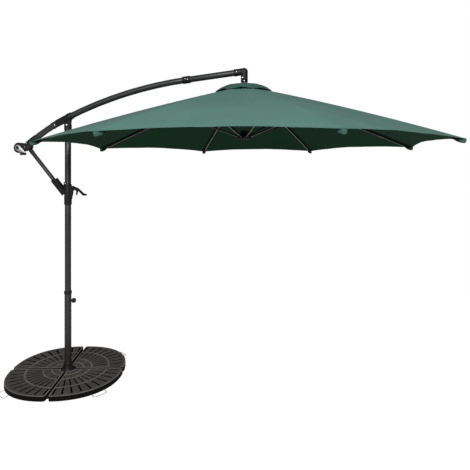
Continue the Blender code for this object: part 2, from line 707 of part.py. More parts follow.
def make_crank_housing(arm):
    end, start = tail_point(ARM_REAR_LENGTH), tail_point(ARM_REAR_LENGTH - 0.034)
    back = end + (end - start).normalized() * 0.055
    drum = cross_bar(CRANK_CENTRE, HOUSING_HALF, HOUSING_RADIUS, 36)
    body = part("crank_housing", drum, "black_plastic", arm)
    join(body, cylinder(start, back, 0.0272, sides=20), "arm_sleeve")
    bridge = link_outline(CRANK_CENTRE, 0.036, STRUT_TOP + Vector((0.0, 0, 0.012)), 0.0260)
    join(body, plate(bridge, 0.0225), "bridge")
    join(body, cross_bar(STRUT_TOP, 0.0170, 0.0190, 24), "strut_ears")
    cut(body, arm_bore(), "arm_socket")
    inner_end = CRANK_CENTRE - Vector((0, SPOOL_HALF + 0.0025, 0))
    open_end = CRANK_CENTRE + Vector((0, HOUSING_HALF + 0.004, 0))
    cut(body, cylinder(inner_end, open_end, SPOOL_RADIUS + 0.0025, sides=32), "spool_chamber")
    cut(body, cylinder(cord_guide()[0], cord_guide()[1], 0.0060, sides=12), "cord_way")
    cut(body, cross_bar(CRANK_CENTRE - Vector((0, 0.03, 0)), 0.02, SHAFT_RADIUS + 0.0010, 16), "shaft_bore")
    cut(body, cross_bar(STRUT_TOP, 0.0080, 0.0215, 24), "strut_slot")
    swing = Matrix.Translation(STRUT_TOP)
    cut(body, box((-0.0215, -0.0080, -0.060), (0.0320, 0.0080, 0.0), swing), "strut_opening")
    join(body, cross_bar(STRUT_TOP, 0.0190, 0.0042, 12), "strut_pin")
    inside, outside = Vector((0, HOUSING_HALF + GAP, 0)), Vector((0, HOUSING_HALF + 0.0043, 0))
    lid_ends = CRANK_CENTRE + inside, CRANK_CENTRE + outside
    lid = cylinder(*lid_ends, HOUSING_RADIUS, HOUSING_RADIUS - 0.0025, sides=28)
    cover = part("housing_cover", lid, "black_plastic", arm)
    hub_start = CRANK_CENTRE + Vector((0, HOUSING_HALF - 0.0035, 0))
    hub_end = CRANK_CENTRE + Vector((0, HOUSING_HALF + 0.0020, 0))
    join(cover, cylinder(hub_start, hub_end, 0.0120, sides=20), "bearing")
    seat_end = CRANK_CENTRE + Vector((0, HOUSING_HALF + 0.0025, 0))
    cut(cover, cylinder(CRANK_CENTRE, seat_end, SHAFT_RADIUS + 0.0004), "seat")


def cord_guide():
    """The straight run of the lift cord from the arm's tail to the top of the spool."""
    spool_top = CRANK_CENTRE + Vector((0.0, 0.0, SPOOL_CORE_RADIUS + 0.0025))
    return spool_top, tail_point(ARM_REAR_LENGTH - 0.02)


def make_crank(crank):
    at = CRANK_CENTRE
    bore = SHAFT_RADIUS + 0.0006
    cheek, core = SPOOL_HALF - 0.0025, SPOOL_HALF - 0.0040
    profile = [
        (SPOOL_RADIUS, SPOOL_HALF), (SPOOL_RADIUS, cheek), (SPOOL_CORE_RADIUS, core),
        (SPOOL_CORE_RADIUS, -core), (SPOOL_RADIUS, -cheek), (SPOOL_RADIUS, -SPOOL_HALF),
        (bore, -SPOOL_HALF), (bore, SPOOL_HALF),
    ]
    spool = turned(profile, 24)
    spool.transform(Matrix.Translation(at) @ Matrix.Rotation(pi / 2, 4, "X"))
    part("winch_spool", spool, "black_plastic", crank)
    shaft_ends = at + Vector((0, -0.0340, 0)), at + Vector((0, HOUSING_HALF + 0.0010, 0))
    shaft = cylinder(*shaft_ends, SHAFT_RADIUS, sides=16)
    part("crank_shaft", shaft, "bare_steel", crank)
    reach = at + CRANK_REACH
    flat = plate(link_outline(at, 0.0235, reach, 0.0085, 10), 0.0025)
    flat.transform(Matrix.Translation((0, CRANK_PLATE_Y, 0)))
    arm_plate = part("crank_arm", flat, "bare_steel", crank)
    boss_ends = at + Vector((0, CRANK_PLATE_Y - 0.0070, 0)), at + Vector((0, CRANK_PLATE_Y - 0.0015, 0))
    cap = cylinder(*boss_ends, 0.0085, 0.0100)
    join(arm_plate, cap, "boss")
    pin_end = reach + Vector((0, GRIP_START_Y - GRIP_LENGTH + 0.0020, 0))
    pin = cylinder(pin_end, reach + Vector((0, CRANK_PLATE_Y + 0.0010, 0)), 0.0032, sides=12)
    join(arm_plate, pin, "grip_pin")
    grip_axis = frame("crank_grip_axis", reach)
    profile = [
        (0.0060, 0.0), (0.0090, -0.0030), (0.0105, -0.0120), (0.0095, -0.0290), (0.0125, -0.0480),
        (0.0115, -0.0580), (0.0060, -GRIP_LENGTH), (0.0037, -GRIP_LENGTH), (0.0037, 0.0),
    ]
    grip = turned(profile, 16)
    grip_start = reach + Vector((0, GRIP_START_Y, 0))
    grip.transform(Matrix.Translation(grip_start) @ Matrix.Rotation(-pi / 2, 4, "X"))
    part("crank_grip", grip, "black_plastic", grip_axis)


# Canopy frame

def make_hub(arm):
    low, high = RIB_HINGE_Z - 0.022, RIB_HINGE_Z + 0.016
    top = arm_point(HUB_X).z - 0.0365
    tube = cylinder((HUB_X, 0, CENTRE_TUBE_BOTTOM), (HUB_X, 0, top), CENTRE_TUBE_RADIUS, caps=False)
    solidify(part("centre_tube", tube, "frame", arm), 0.0016)
    drum = cylinder((HUB_X, 0, low), (HUB_X, 0, high), 0.0600, sides=32)
    body = part("crown_hub", drum, "black_plastic", arm)
    bore = CENTRE_TUBE_RADIUS + SOCKET_GAP
    cut(body, cylinder((HUB_X, 0, low - 0.01), (HUB_X, 0, high + 0.01), bore), "tube_bore")
    radial_slots(body, low, high, 0.0312, 0.0145, "rib_slot")
    for i in range(RIB_COUNT):
        centre = hinge_matrix(i).translation
        tangent = hinge_matrix(i).to_3x3() @ Vector((0, 0.0086, 0))
        pin = cylinder(centre - tangent, centre + tangent, SMALL_PIN_RADIUS, sides=8)
        join(body, pin, f"rib_pin_{i + 1}")


def radial_slots(body, low, high, inner, width, label):
    for i in range(RIB_COUNT):
        place = Matrix.Translation((HUB_X, 0, 0)) @ Matrix.Rotation(rib_angle(i), 4, "Z")
        slot = box((inner, -width / 2, low - 0.01), (0.080, width / 2, high + 0.01), place)
        cut(body, slot, f"{label}_{i + 1}")


def make_runner(runner):
    floor = RUNNER_HINGE_Z - RUNNER_FLOOR_DROP
    low, high = floor - 0.0025, RUNNER_HINGE_Z + 0.044
    mesh = cylinder((HUB_X, 0, low), (HUB_X, 0, RUNNER_HINGE_Z + 0.012), RUNNER_RADIUS, sides=32)
    body = part("runner", mesh, "black_plastic", runner)
    radial_slots(body, low, high, 0.0330, 0.0115, "stretcher_slot")
    join(body, cylinder((HUB_X, 0, low - 0.0015), (HUB_X, 0, high), 0.0300, sides=20), "sleeve")
    bore = CENTRE_TUBE_RADIUS + SOCKET_GAP + 0.0005
    cut(body, cylinder((HUB_X, 0, floor), (HUB_X, 0, high + 0.01), bore, sides=20), "bore")


def rib_angle(i):
    return (i + 0.5) * 2 * pi / RIB_COUNT


def hinge_matrix(i):
    """A rib's hinge: X runs outwards, Y along the hinge pin, Z up."""
    out = Matrix.Rotation(rib_angle(i), 4, "Z")
    return Matrix.Translation(HUB + out @ Vector((RIB_HINGE_RADIUS, 0, 0))) @ out


def rib_matrix(i):
    return hinge_matrix(i) @ Matrix.Rotation(RIB_SLOPE, 4, "Y")


def rib_rise(x):
    """Height of a rib's bowed centreline over the straight line from hinge to tip."""
    share = max(0.0, min(1.0, x / RIB_LENGTH))
    return 4 * RIB_BOW * share * (1 - share)


def rib_tube():
    """An open rectangular tube along the bowed centreline, in the rib's own axes."""
    steps = 5
    bm = bmesh.new()
    start, end = -0.008, RIB_LENGTH
    for i in range(steps + 1):
        x = start + (end - start) * i / steps
        z = rib_rise(x)
        for y, dz in ((-1, -1), (1, -1), (1, 1), (-1, 1)):
            bm.verts.new((x, y * RIB_WIDTH / 2, z + dz * RIB_HEIGHT / 2))
    bm.verts.ensure_lookup_table()
    for i in range(steps):
        for j in range(4):
            a, b = 4 * i + j, 4 * i + (j + 1) % 4
            bm.faces.new([bm.verts[k] for k in (a, b, b + 4, a + 4)])
    return to_mesh(bm, "rib")


def stretcher_pin():
    return Vector((STRETCHER_PIN_X, 0.0, -STRETCHER_PIN_DROP))


def make_rib(i):
    hinge = placed_frame(f"rib_{i + 1}_hinge", rib_matrix(i))
    rib = part(f"rib_{i + 1}", rib_tube(), "frame", hinge, rib_matrix(i))
    rib["local_tools"] = True
    solidify(rib, RIB_WALL)
    cut(rib, cross_bar((0, 0, 0), 0.02, SMALL_BORE_RADIUS, 8), "hinge_bore")
    pin = stretcher_pin()
    rise = rib_rise(STRETCHER_PIN_X)
    inner, outer = STRETCHER_WIDTH / 2 + 0.0008, STRETCHER_WIDTH / 2 + 0.0028
    roof = rise - RIB_HEIGHT / 2 + 0.0005
    for side, label in ((-1, "ear_left"), (1, "ear_right")):
        y = sorted((side * inner, side * outer))
        low = (pin.x - 0.009, y[0], pin.z - 0.006)
        high = (pin.x + 0.009, y[1], roof)
        join(rib, box(low, high), label)
    side = Vector((0, outer - 0.0005, 0))
    join(rib, cylinder(pin - side, pin + side, SMALL_PIN_RADIUS, sides=8), "stretcher_pin")


def make_stretcher(i):
    """A flat bar from the rib's pin down to the runner, in its own axes along X."""
    pin = rib_matrix(i) @ stretcher_pin()
    out = Matrix.Rotation(rib_angle(i), 4, "Z")
    matrix = Matrix.Translation(pin) @ out @ Matrix.Rotation(-LINK_SLOPE, 4, "Y")
    hinge = placed_frame(f"stretcher_{i + 1}_hinge", matrix)
    outline = link_outline(Vector((-LINK, 0, 0)), 0.0058, Vector((0, 0, 0)), 0.0060, 4)
    bar = part(f"stretcher_{i + 1}", plate(outline, STRETCHER_WIDTH / 2), "frame", hinge, matrix)
    bar["local_tools"] = True
    cut(bar, cross_bar((0, 0, 0), 0.02, SMALL_BORE_RADIUS, 8), "pin_bore")


# Cord

def make_cords(arm):
    spool_top, entry = cord_guide()
    route = [spool_top + Vector((0.006, 0, 0.0012)), spool_top.lerp(entry, 0.6), entry]
    route += [tail_point(length) for length in (0.25, 0.18, 0.10, 0.04)]
    route += arm_route(0.0, HUB_X - PULLEY_RADIUS - CORD_RADIUS - 0.030, 9)
    top = arm_point(HUB_X).z
    centre = (HUB_X - PULLEY_RADIUS - CORD_RADIUS, top - PULLEY_RADIUS - CORD_RADIUS)
    radius = PULLEY_RADIUS + CORD_RADIUS + GAP
    route += [Vector((x, 0, z)) for x, z in arc(centre, radius, radians(96), 0, 6)]
    bottom_of_bend = route[-1].z - 0.004
    route.append(Vector((HUB_X + GAP, 0, bottom_of_bend)))
    part("lift_cord", rod(route, CORD_RADIUS, 8), "cord", arm)
    floor = RUNNER_HINGE_Z - RUNNER_FLOOR_DROP + GAP
    drop = [Vector((HUB_X + GAP, 0, z)) for z in (bottom_of_bend - GAP, floor)]
    part("lift_cord_drop", rod(drop, CORD_RADIUS, 8), "cord", arm)


# Canopy fabric

def rib_surface(i, x, height):
    """A point over rib i at distance x from its hinge."""
    return rib_matrix(i) @ Vector((x, 0, rib_rise(x) + height))


def sheet_mesh(point, rows, per_gore):
    """A sheet with a hole in its middle: point(i, row share, across share) for each gore i."""
    bm = bmesh.new()
    columns = RIB_COUNT * per_gore
    grid = []
    for row in range(rows + 1):
        ring = []
        for column in range(columns):
            i, step = divmod(column, per_gore)
            ring.append(bm.verts.new(point(i, row / rows, step / per_gore)))
        grid.append(ring)
    for inner, outer in zip(grid, grid[1:]):
        for a in range(columns):
            b = (a + 1) % columns
            bm.faces.new((inner[a], outer[a], outer[b], inner[b]))
    return to_mesh(bm, "sheet")


def canopy_point(i, share, across):
    """Between two ribs the sheet is stretched straight, with a hollow rim and a slight sag."""
    belly = 4 * across * (1 - across)
    first = (CANOPY_INNER_RADIUS - RIB_HINGE_RADIUS) / cos(RIB_SLOPE)
    last = RIB_LENGTH + 0.006
    x = (first + (last - first) * share) * (1 - CANOPY_EDGE_HOLLOW * belly * share**2)
    height = FABRIC_OVER_RIB + FABRIC
    a = rib_surface(i, x, height)
    b = rib_surface((i + 1) % RIB_COUNT, x, height)
    sag = CANOPY_SAG * belly * sin(pi * share)
    return a.lerp(b, across) - Vector((0, 0, sag))


def cap_point(i, share, across):
    """The vent cap: almost flat over the hub, then falling steeply to its eight corners."""
    belly = 4 * across * (1 - across)
    radius = CAP_HOLE_RADIUS + (CAP_RADIUS - CAP_HOLE_RADIUS) * share
    height = CAP_TOP_Z - CAP_DROP * (radius / CAP_RADIUS) ** CAP_STEEPNESS
    a = Matrix.Rotation(rib_angle(i), 3, "Z") @ Vector((radius, 0, 0))
    b = Matrix.Rotation(rib_angle(i + 1), 3, "Z") @ Vector((radius, 0, 0))
    edge = a.lerp(b, across)
    if share > 0:
        edge *= 1 - 0.03 * belly * share**2
    round_share = max(0.0, 1 - share * 2.5)
    angle = rib_angle(i + across)
    circle = Vector((radius * cos(angle), radius * sin(angle), 0))
    flat = edge.lerp(circle, round_share)
    return Vector((HUB_X + flat.x, flat.y, height))


def make_canopy(arm):
    canopy = part("canopy", sheet_mesh(canopy_point, 8, 4), "fabric", arm)
    solidify(canopy, FABRIC)
    cap = part("vent_cap", sheet_mesh(cap_point, 4, 2), "fabric", arm)
    solidify(cap, FABRIC)


def build():
    base = frame("base", (0, 0, 0), base_matrix())
    make_cross(base)
    for i in range(4):
        make_weight(base, i)
    make_foot(base)
    make_clamp(base)
    make_mast(frame("mast_axis", (0, 0, 0)))
    make_slider(frame("slider_axis", (0, 0, SLIDER_BOTTOM)))
    make_lever(frame("lever_axis", LEVER_PIVOT))
    make_strut(frame("strut_axis", STRUT_TOP))
    arm = frame("arm_axis", PIVOT)
    make_arm(arm)
    make_elbow(arm)
    make_crank_housing(arm)
    make_crank(frame("crank_axis", CRANK_CENTRE))
    make_hub(arm)
    make_runner(frame("runner_axis", (HUB_X, 0, RUNNER_HINGE_Z)))
    for i in range(RIB_COUNT):
        make_rib(i)
        make_stretcher(i)
    make_cords(arm)
    make_canopy(arm)


clear_scene()
PARTS = new_collection("patio_umbrella")
CUTTERS = new_collection("cutters")
build()
bpy.context.view_layer.update()
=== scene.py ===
"""Looks of the cantilever patio umbrella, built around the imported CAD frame.

Positions come from the frame's nodes and joints. Lengths are in metres, in the frame's own axes: +X runs
along the arm towards the canopy and +Z is up.
"""
import json
from math import acos, asin, atan2, cos, hypot, pi, radians, sin, sqrt

import bmesh
import bpy
from mathutils import Matrix, Vector

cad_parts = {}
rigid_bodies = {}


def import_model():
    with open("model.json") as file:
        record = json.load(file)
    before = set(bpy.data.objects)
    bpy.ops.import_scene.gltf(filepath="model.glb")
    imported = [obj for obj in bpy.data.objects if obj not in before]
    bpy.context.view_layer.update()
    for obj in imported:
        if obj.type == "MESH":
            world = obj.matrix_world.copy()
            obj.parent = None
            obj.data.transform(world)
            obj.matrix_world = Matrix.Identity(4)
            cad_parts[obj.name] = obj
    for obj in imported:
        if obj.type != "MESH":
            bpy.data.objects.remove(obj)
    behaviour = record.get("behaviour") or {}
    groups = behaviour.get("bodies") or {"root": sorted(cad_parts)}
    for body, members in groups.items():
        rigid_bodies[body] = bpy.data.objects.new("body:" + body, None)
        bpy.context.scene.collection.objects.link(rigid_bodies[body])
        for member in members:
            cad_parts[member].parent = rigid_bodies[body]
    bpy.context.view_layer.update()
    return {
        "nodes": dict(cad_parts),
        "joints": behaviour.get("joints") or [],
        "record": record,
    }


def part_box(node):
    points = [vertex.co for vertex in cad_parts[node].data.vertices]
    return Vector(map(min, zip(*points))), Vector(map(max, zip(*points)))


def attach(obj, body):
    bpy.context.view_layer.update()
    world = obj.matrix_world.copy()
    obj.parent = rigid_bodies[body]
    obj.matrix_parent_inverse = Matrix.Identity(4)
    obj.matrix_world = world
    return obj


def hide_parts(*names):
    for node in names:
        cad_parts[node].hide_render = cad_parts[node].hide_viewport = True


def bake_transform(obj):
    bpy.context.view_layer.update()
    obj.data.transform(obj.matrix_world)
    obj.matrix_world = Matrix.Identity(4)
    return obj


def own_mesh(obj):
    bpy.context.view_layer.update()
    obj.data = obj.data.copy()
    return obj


for old in list(bpy.data.objects):
    bpy.data.objects.remove(old, do_unlink=True)
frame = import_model()
JOINTS = {joint["name"]: joint for joint in frame["joints"]}
RIB_COUNT = 8
WELD = 0.000002          # vertices closer than this are one

# Camera, as the object was seen
CAMERA_PLACE = (1.7286, -3.390, 1.642)
CAMERA_YAW = radians(6.53)
CAMERA_LENS = 34.24
CAMERA_SHIFT = -0.1445

# Canopy; the values down to CANOPY_SAG are those of the CAD solid
RIB_TIP_RADIUS = 1.497
RIB_TIP_Z = 1.800
RIB_BOW = 0.016
FABRIC = 0.001           # thickness of all the cloth
FABRIC_OVER_RIB = 0.0115
CANOPY_INNER_RADIUS = 0.150
EDGE_HOLLOW = 0.043      # how far the rim curves in between two ribs, as a share
CANOPY_SAG = 0.006
CLOTH_PAST_RIB = 0.006
SEAM_HALF = 0.0065
SEAM_RISE = 0.0009
HEM_WIDTH = 0.020
POUCH_LENGTH = 0.035
THREAD_PITCH = 0.0011

# Vent cap; its radius, top and drop are those of the CAD solid
CAP_INNER_RADIUS = 0.050
CAP_RADIUS = 0.228
CAP_TOP_Z = 2.268
CAP_DROP = 0.060
CAP_STEEPNESS = 3.2      # exponent of the drop
CAP_MOUTH = 0.012        # how far the cap's edge lifts between two ribs
PATCH_RADIUS = 0.0836
PATCH_HOLE = 0.0232

# Weights
BASE_YAW = radians(8.0)
WEIGHT_REACH = 0.440     # from the mast axis to the rim, beside the gaps
WEIGHT_SQUARENESS = 2.3  # exponent of the rim: 2 is a circle, more is squarer
WEIGHT_SPLIT = 0.018     # wider than the CAD solids' 8 mm, as the gaps look in the photo
WEIGHT_LIP = 0.0012      # rise of the rim and the ridges over the weights' face
WEIGHT_RIDGES = (0.117, 0.181, 0.312)
RIDGE_HALF = 0.0050
WEIGHT_CORNER = 0.022
WEIGHT_CUTOUT = 0.058
BOLT_CIRCLE = 0.062
BOLT_ROOM = 0.0112       # radius of the notches around the foot's bolt heads
SLOT_DEPTH = 0.014
SLOT_ROWS = ((0.127, 0.172, 5), (0.190, 0.303, 10), (0.321, None, 10))  # start, end, slots in a quarter
SLOT_RIM = 0.028         # plain border outside the last row
SLOT_SHARE = 0.23        # a slot's width as a share of the pitch of the outer rows
FILLER_RADIUS = 0.150    # from the mast axis to a filler cap's middle
FILLER_ANGLE = radians(46)
FILLER_ROOM = 0.044      # no slot's middle is nearer to the filler cap than this

REFLECTION_STRIPE_HALF = 0.0017     # half width of the painted reflection: the pale stripe under the ribs and stretchers


# Materials

class Nodes:
    """A material's node tree, with short calls to add and join nodes."""

    def __init__(self, name, color, roughness, metallic=0.0, **sockets):
        self.material = bpy.data.materials.new(name)
        self.material.use_nodes = True
        self.tree = self.material.node_tree
        self.shader = self.tree.nodes["Principled BSDF"]
        self.shader.inputs["Base Color"].default_value = (*color, 1.0)
        self.shader.inputs["Roughness"].default_value = roughness
        self.shader.inputs["Metallic"].default_value = metallic
        for socket, value in sockets.items():
            self.shader.inputs[socket.replace("_", " ")].default_value = value
        self.place = self.add("ShaderNodeTexCoord").outputs["Object"]

    def add(self, kind, **values):
        node = self.tree.nodes.new(kind)
        for name, value in values.items():
            if hasattr(node, name):
                setattr(node, name, value)
            else:
                node.inputs[name.replace("_", " ")].default_value = value
        return node

    def link(self, source, target):
        self.tree.links.new(source, target)

    def noise(self, scale, detail=3.0, roughness=0.5, place=None):
        node = self.add("ShaderNodeTexNoise", Scale=scale, Detail=detail, Roughness=roughness)
        self.link(place or self.place, node.inputs["Vector"])
        return node.outputs["Fac"]

    def stretched(self, scale):
        node = self.add("ShaderNodeMapping")
        node.inputs["Scale"].default_value = scale
        self.link(self.place, node.inputs["Vector"])
        return node.outputs["Vector"]

    def math(self, operation, a, b=None, clamp=False):
        node = self.add("ShaderNodeMath", operation=operation, use_clamp=clamp)
        for value, socket in zip((a, b), node.inputs):
            if isinstance(value, (int, float)):
                socket.default_value = value
            elif value is not None:
                self.link(value, socket)
        return node.outputs[0]

    def ramp(self, source, low, high, start=0.3, end=0.7):
        node = self.add("ShaderNodeValToRGB")
        node.color_ramp.elements[0].position = start
        node.color_ramp.elements[1].position = end
        node.color_ramp.elements[0].color = (*low, 1.0)
        node.color_ramp.elements[1].color = (*high, 1.0)
        self.link(source, node.inputs["Fac"])
        return node.outputs["Color"]

    def spread(self, source, low, high):
        node = self.add("ShaderNodeMapRange", To_Min=low, To_Max=high)
        node.inputs["From Min"].default_value = 0.3
        node.inputs["From Max"].default_value = 0.7
        self.link(source, node.inputs["Value"])
        return node.outputs["Result"]

    def color(self, source):
        self.link(source, self.shader.inputs["Base Color"])

    def roughness(self, source):
        self.link(source, self.shader.inputs["Roughness"])

    def bump(self, height, distance, strength=1.0):
        node = self.add("ShaderNodeBump", Distance=distance, Strength=strength)
        self.link(height, node.inputs["Height"])
        self.link(node.outputs["Normal"], self.shader.inputs["Normal"])


def scaled(color, factor):
    return tuple(channel * factor for channel in color)


def powder_coat(name, color, roughness, specular):
    """Satin powder coating: an orange-peel skin, slightly uneven gloss, a little dust."""
    nodes = Nodes(name, color, roughness, 0.0, Specular_IOR_Level=specular)
    cloud = nodes.noise(9.0, 4.0, 0.6)
    nodes.color(nodes.ramp(cloud, scaled(color, 0.86), scaled(color, 1.16)))
    nodes.roughness(nodes.spread(nodes.noise(35.0, 3.0), roughness - 0.06, roughness + 0.08))
    nodes.bump(nodes.noise(420.0, 2.0), 0.00006, 0.4)
    return nodes.material


def coat_with_painted_reflection(name, color, reflection_color):
    """Powder coating with a painted reflection: a paler stripe along the middle of the pieces' lower faces
    stands in for the white floor mirrored there. The mesh's across attribute holds the distance from that
    middle in metres."""
    nodes = Nodes(name, color, 0.34, 0.0, Specular_IOR_Level=0.4)
    split = nodes.add("ShaderNodeSeparateXYZ")
    nodes.link(nodes.add("ShaderNodeTexCoord").outputs["Normal"], split.inputs[0])
    lower = nodes.math("LESS_THAN", split.outputs["Z"], -0.75)
    across = nodes.add("ShaderNodeAttribute", attribute_name="across", attribute_type="GEOMETRY")
    middle = nodes.math("LESS_THAN", nodes.math("ABSOLUTE", across.outputs["Fac"]), REFLECTION_STRIPE_HALF)
    # painted reflection: downward faces near the middle get the pale colour
    under = nodes.math("MULTIPLY", lower, middle)
    cloud = nodes.noise(30.0, 4.0, 0.6)
    mix = nodes.add("ShaderNodeMix", data_type="RGBA")
    nodes.link(under, mix.inputs["Factor"])
    nodes.link(nodes.ramp(cloud, scaled(color, 0.8), scaled(color, 1.2)), mix.inputs["A"])
    nodes.link(nodes.ramp(cloud, scaled(reflection_color, 0.8), scaled(reflection_color, 1.1)), mix.inputs["B"])
    nodes.color(mix.outputs["Result"])
    nodes.bump(nodes.noise(420.0, 2.0), 0.00006, 0.4)
    return nodes.material


def moulded_plastic(name, color, roughness, specular):
    """Injection-moulded plastic with a fine spark-eroded grain."""
    nodes = Nodes(name, color, roughness, 0.0, Specular_IOR_Level=specular)
    cloud = nodes.noise(14.0, 3.0)
    nodes.color(nodes.ramp(cloud, scaled(color, 0.8), scaled(color, 1.25)))
    nodes.roughness(nodes.spread(nodes.noise(60.0, 2.0), roughness - 0.08, roughness + 0.08))
    nodes.bump(nodes.noise(900.0, 2.0, 0.7), 0.00006, 0.5)
    return nodes.material


def weathered_plastic(name, color):
    """The weights' thick blow-moulded plastic: chalky, with dull patches and a pitted skin."""
    nodes = Nodes(name, color, 0.62, 0.0, Specular_IOR_Level=0.35)
    patches = nodes.noise(7.0, 5.0, 0.62)
    specks = nodes.noise(260.0, 3.0, 0.7)
    mixed = nodes.math("ADD", nodes.math("MULTIPLY", patches, 0.65), nodes.math("MULTIPLY", specks, 0.35))
    nodes.color(nodes.ramp(mixed, scaled(color, 0.66), scaled(color, 1.42), 0.36, 0.66))
    nodes.roughness(nodes.spread(patches, 0.54, 0.74))
    nodes.bump(nodes.math("ADD", specks, nodes.noise(45.0, 3.0)), 0.0005, 0.55)
    return nodes.material


def brushed_metal(name, color, roughness, stretch):
    """Bare metal with fine brushing along one direction."""
    nodes = Nodes(name, color, roughness, 1.0)
    grain = nodes.noise(60.0, 4.0, 0.7, nodes.stretched(stretch))
    nodes.color(nodes.ramp(grain, scaled(color, 0.88), scaled(color, 1.06)))
    nodes.roughness(nodes.spread(grain, roughness - 0.07, roughness + 0.10))
    nodes.bump(grain, 0.00008, 0.5)
    return nodes.material


def braided_cord(name, color):
    nodes = Nodes(name, color, 0.8, 0.0, Sheen_Weight=0.3)
    wave = nodes.add("ShaderNodeTexWave", bands_direction="DIAGONAL", Scale=380.0, Distortion=1.5)
    nodes.link(nodes.place, wave.inputs["Vector"])
    nodes.color(nodes.ramp(wave.outputs["Fac"], scaled(color, 0.6), scaled(color, 1.3)))
    nodes.bump(wave.outputs["Fac"], 0.0003, 0.8)
    return nodes.material


def woven_polyester(name, color, stitch_color, specular):
    """Plain-weave polyester. The mesh's cloth attribute holds, in metres, the distance across from the
    seam, the distance along it and the distance from the edge; the stitches follow it."""
    nodes = Nodes(name, color, 0.80, 0.0, Specular_IOR_Level=specular, Sheen_Weight=specular / 4)
    cloth = nodes.add("ShaderNodeAttribute", attribute_name="cloth", attribute_type="GEOMETRY")
    split = nodes.add("ShaderNodeSeparateXYZ")
    nodes.link(cloth.outputs["Vector"], split.inputs[0])
    across, along, edge = split.outputs
    turns = 2 * pi / THREAD_PITCH
    warp = nodes.math("SINE", nodes.math("MULTIPLY", across, turns))
    weft = nodes.math("SINE", nodes.math("MULTIPLY", along, turns))
    weave = nodes.math("MULTIPLY", warp, weft)
    patches = nodes.noise(3.5, 4.0, 0.55)
    slubs = nodes.noise(60.0, 2.0, 0.5, nodes.stretched((1.0, 1.0, 9.0)))
    cloud = nodes.math("ADD", nodes.math("MULTIPLY", patches, 0.7), nodes.math("MULTIPLY", slubs, 0.3))
    base = nodes.ramp(cloud, scaled(color, 0.90), scaled(color, 1.10))

    def near(value, centre, half):
        return nodes.math("LESS_THAN", nodes.math("ABSOLUTE", nodes.math("SUBTRACT", value, centre)), half)

    def dashes(value, pitch):
        return nodes.math("LESS_THAN", nodes.math("FRACT", nodes.math("DIVIDE", value, pitch)), 0.72)

    side = nodes.math("ABSOLUTE", across)
    seam = nodes.math("MULTIPLY", near(side, 0.0044, 0.0005), dashes(along, 0.0045))
    hem = nodes.math("MULTIPLY", near(edge, 0.0165, 0.0005), dashes(across, 0.0045))
    edge_row = nodes.math("MULTIPLY", near(edge, 0.0030, 0.0005), dashes(across, 0.0045))
    stitches = nodes.math("MAXIMUM", nodes.math("MAXIMUM", seam, hem), edge_row)
    mix = nodes.add("ShaderNodeMix", data_type="RGBA")
    nodes.link(stitches, mix.inputs["Factor"])
    nodes.link(base, mix.inputs["A"])
    mix.inputs["B"].default_value = (*stitch_color, 1.0)
    nodes.color(mix.outputs["Result"])
    height = nodes.math("ADD", nodes.math("MULTIPLY", weave, 0.25), nodes.math("MULTIPLY", stitches, 2.5))
    height = nodes.math("ADD", height, nodes.math("MULTIPLY", nodes.noise(22.0, 3.0), 6.0))
    nodes.bump(height, 0.00018, 0.6)
    return nodes.material


GREEN = (0.068, 0.165, 0.134)
# painted shade: the vent cap, crown patch and tip pouches are the canopy cloth made darker
CAP_SHADE_GREEN = scaled(GREEN, 0.55)
# painted shade: the cloth's underside is given a much darker green than its top
UNDERSIDE_SHADE_GREEN = (0.010, 0.040, 0.020)
MATERIALS = {
    "frame": powder_coat("frame_coat", (0.021, 0.021, 0.022), 0.38, 0.40),
    # the ribs' and stretchers' pale lower stripe is a painted reflection of the floor
    "rib_frame": coat_with_painted_reflection("rib_coat", (0.010, 0.010, 0.011), (0.44, 0.40, 0.35)),
    "black_plastic": moulded_plastic("black_moulding", (0.008, 0.008, 0.009), 0.48, 0.22),
    "weight": weathered_plastic("weight_moulding", (0.056, 0.052, 0.049)),
    # painted highlight: a pale copy of the weights' plastic for the raised rim and ridges
    "weight_painted_highlight": weathered_plastic("weight_painted_highlight", (0.150, 0.141, 0.132)),
    # painted shade: a near-black copy for the weights' sides and slot recesses
    "weight_painted_shade": moulded_plastic("weight_painted_shade", (0.004, 0.004, 0.004), 0.6, 0.05),
    "bare_steel": brushed_metal("zinc_steel", (0.62, 0.62, 0.63), 0.30, (1.0, 1.0, 12.0)),
    "crank_plate": brushed_metal("crank_plate", (0.60, 0.60, 0.61), 0.36, (1.0, 1.0, 14.0)),
    "cord": braided_cord("cord", (0.06, 0.06, 0.06)),
    "canopy": woven_polyester("canopy_cloth", GREEN, scaled(GREEN, 0.62), 0.15),
    "cap_cloth_painted_shade": woven_polyester("cap_cloth_painted_shade", CAP_SHADE_GREEN, scaled(CAP_SHADE_GREEN, 0.6), 0.10),
    "canopy_painted_shade": woven_polyester("canopy_cloth_painted_shade", UNDERSIDE_SHADE_GREEN, scaled(UNDERSIDE_SHADE_GREEN, 0.6), 0.04),
}


# Mesh and object helpers

def new_object(name, mesh, slot, smooth_angle=None, materials=None):
    obj = bpy.data.objects.new(name, mesh)
    bpy.context.scene.collection.objects.link(obj)
    mesh.materials.clear()
    for key in materials or (slot,):
        mesh.materials.append(MATERIALS[key])
    mesh.shade_smooth()
    if smooth_angle is not None:
        mesh.set_sharp_from_angle(angle=smooth_angle)
    return obj


def mesh_from(bm, name):
    bmesh.ops.recalc_face_normals(bm, faces=bm.faces)
    mesh = bpy.data.meshes.new(name)
    bm.to_mesh(mesh)
    bm.free()
    return mesh


def evaluated(obj):
    """The mesh that an object's curve or modifiers give; the object is removed."""
    bpy.context.view_layer.update()
    depsgraph = bpy.context.evaluated_depsgraph_get()
    mesh = bpy.data.meshes.new_from_object(obj.evaluated_get(depsgraph))
    mesh.transform(obj.matrix_world)
    bpy.data.objects.remove(obj, do_unlink=True)
    bm = bmesh.new()
    bm.from_mesh(mesh)
    bmesh.ops.remove_doubles(bm, verts=bm.verts, dist=WELD)
    bm.to_mesh(mesh)
    bm.free()
    return mesh


